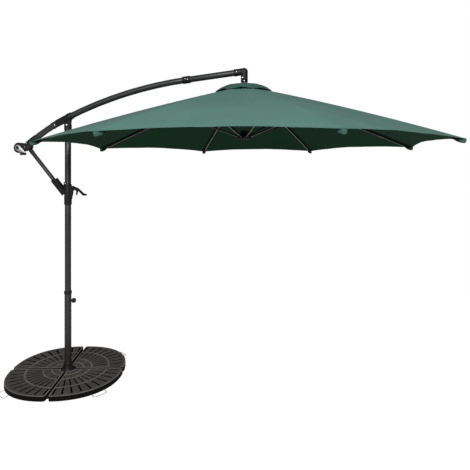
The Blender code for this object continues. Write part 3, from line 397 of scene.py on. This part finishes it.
def turned(name, profile, axis_from, axis_to, steps=40):
    """A round piece: the profile's (radius, height) pairs run along a line from one point to another."""
    bm = bmesh.new()
    rings = []
    for radius, height in profile:
        if radius == 0.0:
            rings.append([bm.verts.new((0.0, 0.0, height))])
        else:
            ring = [2 * pi * i / steps for i in range(steps)]
            rings.append([bm.verts.new((radius * cos(a), radius * sin(a), height)) for a in ring])
    for low, high in zip(rings, rings[1:]):
        for i in range(steps):
            j = (i + 1) % steps
            corners = [low[i % len(low)], low[j % len(low)], high[j % len(high)], high[i % len(high)]]
            bm.faces.new(list(dict.fromkeys(corners)))
    bmesh.ops.remove_doubles(bm, verts=bm.verts, dist=WELD)
    mesh = mesh_from(bm, name)
    start, end = Vector(axis_from), Vector(axis_to)
    turn = (end - start).to_track_quat("Z", "Y").to_matrix().to_4x4()
    mesh.transform(Matrix.Translation(start) @ turn)
    return mesh


def tube(name, points, radius, resolution=3, smooth=True):
    """A round rod along a line through points, straight from point to point or smoothed."""
    curve = bpy.data.curves.new(name, "CURVE")
    curve.dimensions = "3D"
    curve.bevel_depth = radius
    curve.bevel_resolution = resolution
    curve.use_fill_caps = True
    if smooth:
        spline = curve.splines.new("NURBS")
        spline.order_u = 3
        spline.use_endpoint_u = True
        spline.resolution_u = 6
    else:
        spline = curve.splines.new("POLY")
    spline.points.add(len(points) - 1)
    for knot, point in zip(spline.points, points):
        knot.co = (*point, 1.0)
    obj = bpy.data.objects.new(name, curve)
    bpy.context.scene.collection.objects.link(obj)
    return evaluated(obj)


def plate(name, outlines, low, high, edge):
    """A flat plate with rounded edges from outlines of (x, y); all but the first are holes."""
    curve = bpy.data.curves.new(name, "CURVE")
    curve.dimensions = "2D"
    curve.fill_mode = "BOTH"
    curve.extrude = (high - low) / 2 - edge
    curve.bevel_depth = edge
    curve.bevel_resolution = 2
    curve.offset = -edge
    for outline in outlines:
        spline = curve.splines.new("POLY")
        spline.points.add(len(outline) - 1)
        spline.use_cyclic_u = True
        for knot, (x, y) in zip(spline.points, outline):
            knot.co = (x, y, 0.0, 1.0)
    obj = bpy.data.objects.new(name, curve)
    obj.location = (0.0, 0.0, (low + high) / 2)
    bpy.context.scene.collection.objects.link(obj)
    return evaluated(obj)


def joined(name, meshes):
    bm = bmesh.new()
    for mesh in meshes:
        bm.from_mesh(mesh)
    mesh = bpy.data.meshes.new(name)
    bm.to_mesh(mesh)
    bm.free()
    return mesh


def arc(centre, radius, start, end, steps):
    angles = [start + (end - start) * i / steps for i in range(steps + 1)]
    return [(centre[0] + radius * cos(a), centre[1] + radius * sin(a)) for a in angles]


# CAD nodes that stay: their facets are welded and smoothed, and their slots get the materials above

def dress_cad_nodes(left_out):
    slots = {part["node"]: part["material_slot"] for part in frame["record"]["subparts"]}
    for name, obj in frame["nodes"].items():
        obj.data.materials.clear()
        obj.data.materials.append(MATERIALS[slots[name]])
        if name in left_out:
            continue
        if "custom_normal" in obj.data.attributes:
            obj.data.attributes.remove(obj.data.attributes["custom_normal"])
        obj.data.shade_smooth()
        if slots[name] == "rib_frame":
            joint = JOINTS[f"rib_{name.split('_')[1]}_fold"]
            axis, hinge = Vector(joint["axis"]), Vector(joint["pos_m"])
            # across places the painted reflection stripe along the rib's lower face
            across = obj.data.attributes.new("across", "FLOAT", "POINT")
            spread = [(obj.matrix_world @ vertex.co - hinge).dot(axis) for vertex in obj.data.vertices]
            across.data.foreach_set("value", spread)
        weld = obj.modifiers.new("weld", "WELD")
        weld.merge_threshold = 0.00002
        rounding = obj.modifiers.new("rounding", "BEVEL")
        rounding.width = 0.0007
        rounding.segments = 2
        rounding.limit_method = "ANGLE"
        rounding.angle_limit = radians(38)
        rounding.harden_normals = False
        split = obj.modifiers.new("sharp_edges", "EDGE_SPLIT")
        split.split_angle = radians(32)


# Ribs and canopy

def rib_frame(k):
    """A rib's own axes at rest: X along it from its hinge, Y along the hinge pin, Z away from the sheet's
    underside."""
    joint = JOINTS[f"rib_{k % RIB_COUNT + 1}_fold"]
    axis = Vector(joint["axis"])
    out = Vector((axis.y, -axis.x, 0.0))
    hinge = Vector(joint["pos_m"])
    turn = Matrix((out, axis, Vector((0, 0, 1)))).transposed().to_4x4()
    return Matrix.Translation(hinge) @ turn @ Matrix.Rotation(RIB_SLOPE, 4, "Y")


FIRST_HINGE = Vector(JOINTS["rib_1_fold"]["pos_m"])
HUB = sum((Vector(JOINTS[f"rib_{k + 1}_fold"]["pos_m"]) for k in range(RIB_COUNT)), Vector()) / RIB_COUNT
HINGE_RADIUS = (FIRST_HINGE - HUB).length
RIB_RUN = RIB_TIP_RADIUS - HINGE_RADIUS
RIB_SLOPE = atan2(HUB.z - RIB_TIP_Z, RIB_RUN)
RIB_LENGTH = hypot(HUB.z - RIB_TIP_Z, RIB_RUN)
CLOTH_START = (CANOPY_INNER_RADIUS - HINGE_RADIUS) / cos(RIB_SLOPE)  # along the rib from its hinge
RIB_FRAMES = [rib_frame(k) for k in range(RIB_COUNT)]


def rib_angle(k):
    return (k + 0.5) * 2 * pi / RIB_COUNT


def rib_rise(x):
    share = max(0.0, min(1.0, x / RIB_LENGTH))
    return 4 * RIB_BOW * share * (1 - share)


def over_rib(k, x, height):
    return RIB_FRAMES[k % RIB_COUNT] @ Vector((x, 0.0, rib_rise(x) + height))


def smooth_step(value):
    value = max(0.0, min(1.0, value))
    return value * value * (3 - 2 * value)


def gore_point(k, share, s):
    """The upper face over rib k; s runs from the middle of one bay (-1) over the rib (0) to the next (1)."""
    across = abs(s) / 2
    belly = 4 * across * (1 - across)
    last = RIB_LENGTH + CLOTH_PAST_RIB
    x = (CLOTH_START + (last - CLOTH_START) * share) * (1 - EDGE_HOLLOW * belly * share**2)
    height = FABRIC_OVER_RIB + FABRIC
    here = over_rib(k, x, height)
    there = over_rib(k + (1 if s > 0 else -1), x, height)
    point = here.lerp(there, across)
    point.z -= CANOPY_SAG * belly * sin(pi * share)
    return point


def ripple(k, share, s):
    """Height of the soft folds where the cloth is slack between the ribs, the same from both sides of a bay."""
    across = abs(s) / 2
    belly = 4 * across * (1 - across)
    bay = k if s > 0 else k - 1
    from_first = across if s > 0 else 1 - across
    phase = 1.7 * (bay % RIB_COUNT)
    folds = sin(2 * pi * (6.0 * from_first + 0.4 * sin(3.0 * share + phase)) + phase)
    long_folds = sin(2 * pi * (2.5 * from_first + 0.8 * share) + 2.1 * phase)
    slack = belly * smooth_step(share * 1.4)
    return slack * (0.0005 * folds + 0.0012 * long_folds)


def cloth_strip(name, columns, rows, place, facts, materials, slot):
    """A sheet with the cloth attribute: place(row, column) gives a point, facts its three distances."""
    bm = bmesh.new()
    grid = [[bm.verts.new(place(row, column)) for column in columns] for row in rows]
    for inner, outer in zip(grid, grid[1:]):
        for i in range(len(columns) - 1):
            bm.faces.new((inner[i], outer[i], outer[i + 1], inner[i + 1]))
    bm.normal_update()
    if sum(face.normal.z for face in bm.faces) < 0:
        bmesh.ops.reverse_faces(bm, faces=bm.faces)
    mesh = bpy.data.meshes.new(name)
    bm.to_mesh(mesh)
    bm.free()
    cloth = mesh.attributes.new("cloth", "FLOAT_VECTOR", "POINT")
    values = [facts(row, column) for row in rows for column in columns]
    cloth.data.foreach_set("vector", [number for value in values for number in value])
    obj = new_object(name, mesh, slot, materials=materials)
    wall = obj.modifiers.new("thickness", "SOLIDIFY")
    wall.thickness = FABRIC
    wall.offset = -1.0
    # the underside faces take the second material, a painted shade
    wall.material_offset = 1
    wall.material_offset_rim = 0
    return obj


SEAM_COLUMNS = (0.0, 0.0035, 0.0060, 0.0075, 0.012)  # metres from the seam
LAP_COLUMNS = (0.25, 0.6, 1.0)                       # shares of the lap
BAY_COLUMNS = 12
GORE_ROWS = 40
HIDDEN_LAP = 0.026  # of a gore under or over the next, near the crown


def gore_columns():
    """Columns as (side, kind, value), the value in metres from the seam or as a share of the bay or lap."""
    half = [("seam", value) for value in SEAM_COLUMNS]
    half += [("bay", (i + 1) / BAY_COLUMNS) for i in range(BAY_COLUMNS)]
    half += [("lap", value) for value in LAP_COLUMNS]
    return [(-1, *column) for column in reversed(half[1:])] + [(1, *column) for column in half]


def column_s(side, kind, value, width, lap):
    """Where a column lies, as s, in a bay whose half is width metres wide."""
    start = SEAM_COLUMNS[-1] / width
    if kind == "seam":
        return side * value / width
    if kind == "bay":
        return side * (start + (1 - start) * value)
    return side * (1 + lap * value / width)


def make_gore(k):
    length = RIB_LENGTH + CLOTH_PAST_RIB - CLOTH_START
    near_edge = (0.0, 0.0012, 0.0180, 0.0195, 0.0215)
    rows = [value / length for value in near_edge]
    rows += [0.03 + (0.97 - 0.03) * i / GORE_ROWS for i in range(GORE_ROWS + 1)]
    rows += [1 - value / length for value in reversed(near_edge)]

    def half_width(share):
        return (gore_point(k, share, 1.0) - gore_point(k, share, 0.0)).length

    widths = {share: half_width(share) for share in rows}

    def lap(share):
        return 0.0015 + HIDDEN_LAP * (1 - smooth_step(share / 0.42))

    def place(share, column):
        side, kind, value = column
        width = widths[share]
        s = column_s(side, kind, value, width, lap(share))
        point = gore_point(k, share, s)
        rise = ripple(k, share, s)
        from_seam = abs(s) * width
        if kind == "seam" and from_seam <= SEAM_HALF:
            rise += SEAM_RISE
        if min(1 - share, share) * length < HEM_WIDTH - 0.001:
            rise += 0.0007
        if kind == "lap":
            rise -= min(0.0014, 0.05 * lap(share) * value)
        return point + Vector((0.0, 0.0, rise))

    def facts(share, column):
        side, kind, value = column
        width = widths[share]
        across = column_s(side, kind, value, width, lap(share)) * width
        return across, share * length, (1 - share) * length

    name = f"canopy_gore_{k + 1}"
    return cloth_strip(name, gore_columns(), rows, place, facts, ("canopy", "canopy_painted_shade"), "canopy")


def cap_point(k, share, s):
    """The vent cap's upper face: nearly level over the hub, falling to its corners, open between them."""
    across = abs(s) / 2
    belly = 4 * across * (1 - across)
    radius = CAP_INNER_RADIUS + (CAP_RADIUS - CAP_INNER_RADIUS) * share
    height = CAP_TOP_Z - CAP_DROP * (radius / CAP_RADIUS) ** CAP_STEEPNESS
    corner_a = Vector((cos(rib_angle(k)), sin(rib_angle(k)), 0.0)) * radius
    next_angle = rib_angle(k + (1 if s > 0 else -1))
    corner_b = Vector((cos(next_angle), sin(next_angle), 0.0)) * radius
    flat = corner_a.lerp(corner_b, across) * (1 - 0.03 * belly * share**2)
    angle = rib_angle(k + (across if s > 0 else -across))
    circle = Vector((cos(angle), sin(angle), 0.0)) * radius
    flat = flat.lerp(circle, smooth_step(1 - share * 1.6))
    lift = CAP_MOUTH * belly**2 * smooth_step(share * 1.15 - 0.15) - 0.0035 * share**4
    return Vector((HUB.x + flat.x, flat.y, height + lift))


def make_cap_leaf(k):
    rows = [i / 14 for i in range(14)] + [0.955, 0.965, 0.975, 0.995, 1.0]
    length = CAP_RADIUS - CAP_INNER_RADIUS

    def half_width(share):
        return (cap_point(k, share, 1.0) - cap_point(k, share, 0.0)).length

    widths = {share: half_width(share) for share in rows}

    def lap(share):
        return 0.002 + 0.020 * (1 - smooth_step((share - 0.2) / 0.75))

    def place(share, column):
        side, kind, value = column
        s = column_s(side, kind, value, widths[share], lap(share))
        point = cap_point(k, share, s)
        rise = 0.0
        if kind == "seam" and value <= SEAM_HALF:
            rise += SEAM_RISE
        if share > 0.96:
            rise += 0.0006
        if kind == "lap":
            rise -= min(0.0014, 0.05 * lap(share) * value)
        return point + Vector((0.0, 0.0, rise))

    def facts(share, column):
        side, kind, value = column
        across = column_s(side, kind, value, widths[share], lap(share)) * widths[share]
        return across, share * length, (1 - share) * length * 1.6

    columns = [c for c in gore_columns() if not (c[1] == "seam" and c[2] > 0.008)]
    name = f"vent_cap_leaf_{k + 1}"
    return cloth_strip(name, columns, rows, place, facts, ("cap_cloth_painted_shade", "canopy_painted_shade"), "canopy")


def make_crown_patch():
    """The round patch that reinforces the vent cap where the centre tube comes through."""
    profile = [
        (PATCH_HOLE, CAP_TOP_Z + 0.0005), (0.0240, CAP_TOP_Z + 0.0030), (0.0275, CAP_TOP_Z + 0.0032),
        (0.0290, CAP_TOP_Z + 0.0018), (0.0500, CAP_TOP_Z + 0.0012), (0.0810, CAP_TOP_Z - 0.0012),
        (0.0832, CAP_TOP_Z - 0.0016), (PATCH_RADIUS, CAP_TOP_Z - 0.0026), (0.0800, CAP_TOP_Z - 0.0022),
        (0.0500, CAP_TOP_Z + 0.0002), (PATCH_HOLE, CAP_TOP_Z + 0.0005),
    ]
    mesh = turned("crown_patch", profile, (HUB.x, 0, 0), (HUB.x, 0, 1), 64)
    cloth = mesh.attributes.new("cloth", "FLOAT_VECTOR", "POINT")
    facts = []
    for vertex in mesh.vertices:
        radius = hypot(vertex.co.x - HUB.x, vertex.co.y)
        angle = atan2(vertex.co.y, vertex.co.x - HUB.x)
        facts += [angle * radius + 1.0, radius, PATCH_RADIUS - radius]
    cloth.data.foreach_set("vector", facts)
    return new_object("crown_patch", mesh, "canopy", materials=("cap_cloth_painted_shade",))


def loft(name, sections, close_start=True):
    """A skin over closed sections, each a list of points, closed at its last one."""
    bm = bmesh.new()
    rings = [[bm.verts.new(point) for point in section] for section in sections]
    count = len(rings[0])
    for low, high in zip(rings, rings[1:]):
        for i in range(count):
            j = (i + 1) % count
            bm.faces.new((low[i], low[j], high[j], high[i]))
    if close_start:
        bm.faces.new(rings[0])
    bm.faces.new(rings[-1])
    return mesh_from(bm, name)


def pouch_section(x, half, top, depth, steps=20):
    """A rounded section in a rib's own axes, at x along it."""
    points = []
    for i in range(steps):
        a = 2 * pi * i / steps
        y = half * (abs(cos(a)) ** 0.6) * (1 if cos(a) >= 0 else -1)
        z = (depth / 2) * (abs(sin(a)) ** 0.6) * (1 if sin(a) >= 0 else -1)
        points.append((x, y, top - depth / 2 + z + rib_rise(x)))
    return points


def make_rib_end(k):
    """The black end piece on a rib and the cloth pouch that takes it."""
    under = FABRIC_OVER_RIB - 0.0010
    sections = [pouch_section(RIB_LENGTH - back, half, under - 0.0004, depth) for back, half, depth in (
        (0.074, 0.0080, 0.0205), (0.072, 0.0092, 0.0225), (0.056, 0.0098, 0.0235), (0.053, 0.0150, 0.0265),
        (0.040, 0.0160, 0.0285), (0.036, 0.0135, 0.0275), (0.010, 0.0110, 0.0250), (0.000, 0.0080, 0.0220),
    )]
    end = new_object(f"rib_end_{k + 1}", loft("rib_end", sections), "black_plastic", radians(50))
    sections = [pouch_section(RIB_LENGTH - back, half, under + 0.0005, depth) for back, half, depth in (
        (POUCH_LENGTH, 0.0172, 0.0306), (0.026, 0.0166, 0.0301), (0.016, 0.0154, 0.0292),
        (0.006, 0.0138, 0.0278), (-0.001, 0.0120, 0.0262), (-0.0045, 0.0090, 0.0230),
        (-0.0055, 0.0040, 0.0150),
    )]
    mesh = loft("tip_pouch", sections, close_start=False)
    cloth = mesh.attributes.new("cloth", "FLOAT_VECTOR", "POINT")
    facts = []
    for vertex in mesh.vertices:
        facts += [vertex.co.y + 0.5, vertex.co.z, vertex.co.x - (RIB_LENGTH - POUCH_LENGTH)]
    cloth.data.foreach_set("vector", facts)
    # painted shade: the pouch's outside is the darker cap cloth
    pouch = new_object(f"tip_pouch_{k + 1}", mesh, "canopy", materials=("cap_cloth_painted_shade", "canopy_painted_shade"))
    # painted shade: the pouch's downward faces take the darker underside cloth
    for face in mesh.polygons:
        if face.normal.z < -0.5 and abs(face.normal.x) < 0.5:
            face.material_index = 1
    wall = pouch.modifiers.new("thickness", "SOLIDIFY")
    wall.thickness = FABRIC
    wall.offset = -1.0
    for piece in (end, pouch):
        piece.matrix_world = RIB_FRAMES[k]
    return end, pouch


def make_canopy():
    for k in range(RIB_COUNT):
        body = f"rib_{k + 1}"
        gore, leaf = make_gore(k), make_cap_leaf(k)
        cap, pouch = make_rib_end(k)
        for piece in (gore, leaf, cap, pouch):
            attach(piece, body)
        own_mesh(gore)
        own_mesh(leaf)
        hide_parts("canopy")
        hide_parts("vent_cap")
        width = 2 * (gore_point(k, 1.0, 1.0) - gore_point(k, 1.0, 0.0)).length
        length = (gore_point(k, 1.0, 0.0) - gore_point(k, 0.0, 0.0)).length
    patch = make_crown_patch()
    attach(patch, "arm")
    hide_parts("vent_cap")


# Weights

def rim_radius(angle):
    power = WEIGHT_SQUARENESS
    return WEIGHT_REACH / (abs(cos(angle)) ** power + abs(sin(angle)) ** power) ** (1 / power)


def fan_outline(inset=0.0):
    """One weight seen from above, or a line drawn inside its edge: a quarter of a square with bulging sides
    and soft corners."""
    edge = WEIGHT_SPLIT / 2 + inset
    corner = max(WEIGHT_CORNER - inset, 0.008)
    side = edge + corner
    reach = WEIGHT_REACH - inset
    start = atan2(side, reach)
    angles = [start + (pi / 2 - 2 * start) * i / 48 for i in range(49)]
    rim = [((rim_radius(a) - inset) * cos(a), (rim_radius(a) - inset) * sin(a)) for a in angles]
    first = arc((reach - corner, side), corner, -pi / 2, 0, 8)[:-1]
    last = arc((side, reach - corner), corner, pi / 2, pi, 8)[1:]
    cutout, room = WEIGHT_CUTOUT + inset, BOLT_ROOM + inset
    notch_start = acos(edge / room)
    meet_y = (cutout**2 + BOLT_CIRCLE**2 - room**2) / (2 * BOLT_CIRCLE)
    meet_x = sqrt(cutout**2 - meet_y**2)
    notch = arc((0, BOLT_CIRCLE), room, notch_start, atan2(meet_y - BOLT_CIRCLE, meet_x), 8)
    inner = arc((0, 0), cutout, atan2(meet_y, meet_x), atan2(meet_x, meet_y), 10)[1:-1]
    return first + rim + last + notch + inner + [(y, x) for x, y in reversed(notch)]


def ridge_outline(radius):
    """A raised band across one weight."""
    edge = WEIGHT_SPLIT / 2 + 0.006
    low, high = radius - RIDGE_HALF, radius + RIDGE_HALF
    outer = arc((0, 0), high, asin(edge / high), pi / 2 - asin(edge / high), 32)
    return outer + arc((0, 0), low, pi / 2 - asin(edge / low), asin(edge / low), 32)


def slot_outline(start, end, angle, half_share, steps=4):
    """A radial slot that widens outwards, with round ends."""
    near_half, far_half = start * half_share, end * half_share
    outline = arc((end - far_half, 0), far_half, -pi / 2, pi / 2, steps)
    outline += arc((start + near_half, 0), near_half, pi / 2, 3 * pi / 2, steps)
    turn = Matrix.Rotation(angle, 2)
    return [tuple(turn @ Vector(point)) for point in outline]


def weight_slots():
    outlines = []
    pitch = (pi / 2) / 10
    for start, row_end, count in SLOT_ROWS:
        for i in range(count):
            angle = (i + 0.5) * (pi / 2) / count
            end = row_end or rim_radius(angle) - SLOT_RIM
            middle = (start + end) / 2
            away = hypot(middle * cos(angle) - FILLER_RADIUS * cos(FILLER_ANGLE),
                         middle * sin(angle) - FILLER_RADIUS * sin(FILLER_ANGLE))
            if away < FILLER_ROOM:
                continue
            outlines.append(slot_outline(start, end, angle, pitch * SLOT_SHARE / 2))
    return outlines


def make_weights():
    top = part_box("weight_1")[1].z
    floor_z = top - SLOT_DEPTH
    face_z = top - WEIGHT_LIP
    face = plate("weight_face", [fan_outline()] + weight_slots(), floor_z - 0.0015, face_z, 0.0022)
    body = plate("weight_body", [fan_outline()], 0.0, floor_z, 0.0030)
    neck = plate("weight_waist", [fan_outline()], floor_z - 0.004, floor_z + 0.001, 0.0004)
    lip = plate("weight_lip", [fan_outline(0.0012), fan_outline(0.0095)], face_z - 0.003, top, 0.0010)
    ridges = [plate("ridge", [ridge_outline(radius)], face_z - 0.002, top, 0.0008)
              for radius in WEIGHT_RIDGES]
    solid = joined("weight", [face, body, neck, lip] + ridges)
    seat = Vector((FILLER_RADIUS * cos(FILLER_ANGLE), FILLER_RADIUS * sin(FILLER_ANGLE), face_z))
    for i in range(4):
        turn = Matrix.Rotation(BASE_YAW + i * pi / 2, 4, "Z")
        mesh = solid.copy()
        mesh.transform(turn)
        weight = new_object(f"weight_{i + 1}_moulding", mesh, "weight", radians(40),
                            ("weight", "weight_painted_shade", "weight_painted_highlight"))
        # painted highlight: faces above the weights' face, on the rim and ridges, take the pale copy
        for face in mesh.polygons:
            if face.center.z > face_z + 0.0002:
                face.material_index = 2
            # painted shade: sides, slot walls and faces down in the slots take the near-black copy
            elif face.normal.z < 0.3 or face.center.z < face_z - 0.004:
                face.material_index = 1
        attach(weight, "base")
        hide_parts(f"weight_{i + 1}")
        at = turn @ seat
        profile = [
            (0.0, 0.0035), (0.0150, 0.0035), (0.0170, 0.0028), (0.0176, 0.0010), (0.0180, 0.0006),
            (0.0205, 0.0004), (0.0215, 0.0030), (0.0240, 0.0036), (0.0262, 0.0026), (0.0270, -0.0020),
        ]
        mesh = turned("filler", profile, at, at + Vector((0, 0, 1)), 48)
        grip = turn @ Matrix.Translation(seat + Vector((0, 0, 0.0048)))
        bar = plate("filler_grip", [[(-0.013, -0.002), (0.013, -0.002), (0.013, 0.002), (-0.013, 0.002)]],
                    -0.0028, 0.0028, 0.0008)
        bar.transform(grip)
        filler = new_object(f"filler_cap_{i + 1}", joined("filler_cap", [mesh, bar]), "weight", radians(40))
        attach(filler, "base")
        make_carry_loop(i, turn)


def make_foot_bell():
    """The flared cover over the foot's weld, with its concave skirt and rolled edge."""
    low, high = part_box("foot_collar")
    height = high.z - low.z
    outer = (
        (0.0520, 0.00), (0.0524, 0.03), (0.0516, 0.07), (0.0486, 0.13), (0.0442, 0.23), (0.0404, 0.35),
        (0.0371, 0.50), (0.0346, 0.66), (0.0328, 0.82), (0.0318, 0.92), (0.0310, 0.97), (0.0296, 1.00),
    )
    inner = ((0.0274, 1.00), (0.0272, 0.82), (0.0300, 0.60), (0.0350, 0.36), (0.0430, 0.14), (0.0490, 0.00))
    profile = [(radius, low.z + share * height) for radius, share in outer + inner]
    mesh = turned("foot_bell", profile + profile[:1], (0, 0, 0), (0, 0, 1), 64)
    bell = new_object("foot_bell", mesh, "black_plastic", radians(45))
    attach(bell, "base")
    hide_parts("foot_collar")


def make_carry_loop(i, turn):
    """A wire handle hinged on the weight's rim, lying on the ground."""
    middle = radians(45)
    spread = radians(6.0)
    wire = 0.0022
    points = []
    for beyond, share, height in (
        (-0.010, -1.0, 0.0140), (0.004, -1.0, 0.0135), (0.034, -1.0, 0.0060), (0.046, -0.92, 0.0035),
        (0.048, 0.0, 0.0035), (0.046, 0.92, 0.0035), (0.034, 1.0, 0.0060), (0.004, 1.0, 0.0135),
        (-0.010, 1.0, 0.0140),
    ):
        angle = middle + share * spread
        radius = rim_radius(middle + spread) + beyond
        points.append(turn @ Vector((radius * cos(angle), radius * sin(angle), height)))
    mesh = tube("carry_handle", points, wire, resolution=4)
    handle = new_object(f"carry_handle_{i + 1}", mesh, "bare_steel")
    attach(handle, "base")


# Small hardware

def rivet(name, place, outward, radius, rise, body):
    profile = [
        (radius * 0.9, -0.0006), (radius, 0.0), (radius * 0.96, rise * 0.35), (radius * 0.75, rise * 0.8),
        (radius * 0.4, rise), (0.0, rise * 1.04),
    ]
    start = Vector(place)
    mesh = turned(name, profile, start, start + outward, 28)
    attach(new_object(name, mesh, "bare_steel", radians(60)), body)


def make_hardware():
    left = Vector((0, -1, 0))
    rise = 0.0022
    for number, (x, y, z, radius, body) in enumerate((
        (1.353, -0.0270, 2.3630, 0.0050, "arm"), (1.401, -0.0243, 2.3200, 0.0050, "arm"),
        (1.412, -0.0267, 2.2950, 0.0045, "arm"), (0.957, -0.0278, 2.3205, 0.0038, "arm"),
        (0.976, -0.0281, 2.3140, 0.0038, "arm"), (-0.0995, -0.0252, 1.9755, 0.0065, "arm"),
        (-0.3385, -0.0254, 1.8337, 0.0045, "arm"), (-0.3552, -0.0225, 1.8018, 0.0045, "arm"),
        (-0.0110, -0.0261, 1.5140, 0.0062, "slider"),
    )):
        rivet(f"rivet_{number + 1}", (x, y, z), left, radius, rise, body)
        rivet(f"rivet_{number + 1}_back", (x, -y, z), -left, radius, rise, body)
    hub = Vector(JOINTS["crank_turn"]["pos_m"])
    profile = [
        (0.0118, -0.0052), (0.0118, -0.0012), (0.0110, 0.0004), (0.0075, 0.0010), (0.0050, 0.0004),
        (0.0, 0.0004),
    ]
    face = Vector((hub.x, -0.0442, hub.z))
    mesh = turned("crank_cap", profile, face, face + left, 40)
    cap = new_object("crank_cap", mesh, "black_plastic", radians(50))
    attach(cap, "crank")


def make_cord():
    low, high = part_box("lift_cord_drop")
    x, y = (low.x + high.x) / 2, (low.y + high.y) / 2
    radius = (high.x - low.x) / 2
    steps = 24
    points = [(x, y, high.z + (low.z - high.z) * i / steps) for i in range(steps + 1)]
    drop = new_object("lift_cord_drop_braid", tube("drop", points, radius, smooth=False), "cord")
    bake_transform(drop)
    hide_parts("lift_cord_drop")


# Stage, lights and camera

def camera_only(tree, seen, unseen, share):
    """A shader that camera rays see as a mix of two, and all other rays as the second."""
    path = tree.nodes.new("ShaderNodeLightPath")
    scale = tree.nodes.new("ShaderNodeMath")
    scale.operation = "MULTIPLY"
    scale.inputs[1].default_value = share
    tree.links.new(path.outputs["Is Camera Ray"], scale.inputs[0])
    mix = tree.nodes.new("ShaderNodeMixShader")
    tree.links.new(scale.outputs[0], mix.inputs[0])
    tree.links.new(unseen, mix.inputs[1])
    tree.links.new(seen, mix.inputs[2])
    return mix.outputs[0]


def make_stage():
    nodes = Nodes("floor", (0.82, 0.82, 0.82), 0.75, Specular_IOR_Level=0.1)
    nodes.bump(nodes.noise(3.0), 0.0002, 0.2)
    glow = nodes.add("ShaderNodeEmission", Strength=1.14)
    glow.inputs["Color"].default_value = (1.0, 1.0, 1.0, 1.0)
    output = nodes.tree.nodes["Material Output"]
    seen = camera_only(nodes.tree, glow.outputs[0], nodes.shader.outputs[0], 0.85)
    nodes.link(seen, output.inputs["Surface"])
    bm = bmesh.new()
    bmesh.ops.create_grid(bm, x_segments=2, y_segments=2, size=60.0)
    mesh = bpy.data.meshes.new("floor")
    bm.to_mesh(mesh)
    bm.free()
    mesh.materials.append(nodes.material)
    floor = bpy.data.objects.new("floor", mesh)
    floor.location = (0.0, 0.0, -0.0005)
    bpy.context.scene.collection.objects.link(floor)


def area_light(name, place, target, size, power):
    light = bpy.data.lights.new(name, "AREA")
    light.shape = "RECTANGLE"
    light.size, light.size_y = size
    light.energy = power
    obj = bpy.data.objects.new(name, light)
    obj.location = place
    obj.rotation_euler = (Vector(target) - Vector(place)).to_track_quat("-Z", "Y").to_euler()
    bpy.context.scene.collection.objects.link(obj)


def make_lights():
    world = bpy.data.worlds.new("studio")
    world.use_nodes = True
    tree = world.node_tree
    fill = tree.nodes["Background"]
    fill.inputs["Color"].default_value = (1.0, 1.0, 1.0, 1.0)
    fill.inputs["Strength"].default_value = 0.30
    backdrop = tree.nodes.new("ShaderNodeBackground")
    backdrop.inputs["Color"].default_value = (1.0, 1.0, 1.0, 1.0)
    shader = camera_only(tree, backdrop.outputs[0], fill.outputs[0], 1.0)
    tree.links.new(shader, tree.nodes["World Output"].inputs["Surface"])
    bpy.context.scene.world = world
    area_light("front_softbox", (2.0, -5.5, 3.9), (1.3, 0.0, 1.7), (3.2, 2.0), 330.0)
    area_light("side_strip", (-0.6, -4.0, 2.5), (0.0, 0.0, 2.2), (0.5, 1.8), 25.0)
    bpy.context.scene.view_settings.view_transform = "Standard"


def make_camera():
    camera = bpy.data.cameras.new("camera")
    camera.lens = CAMERA_LENS
    camera.shift_y = CAMERA_SHIFT
    camera.clip_end = 200.0
    obj = bpy.data.objects.new("camera", camera)
    obj.location = CAMERA_PLACE
    obj.rotation_euler = (pi / 2, 0.0, CAMERA_YAW)
    bpy.context.scene.collection.objects.link(obj)
    bpy.context.scene.camera = obj


make_camera()
make_stage()
make_lights()
dress_cad_nodes(left_out=("canopy", "vent_cap"))
make_canopy()
make_weights()
make_foot_bell()
make_hardware()
make_cord()
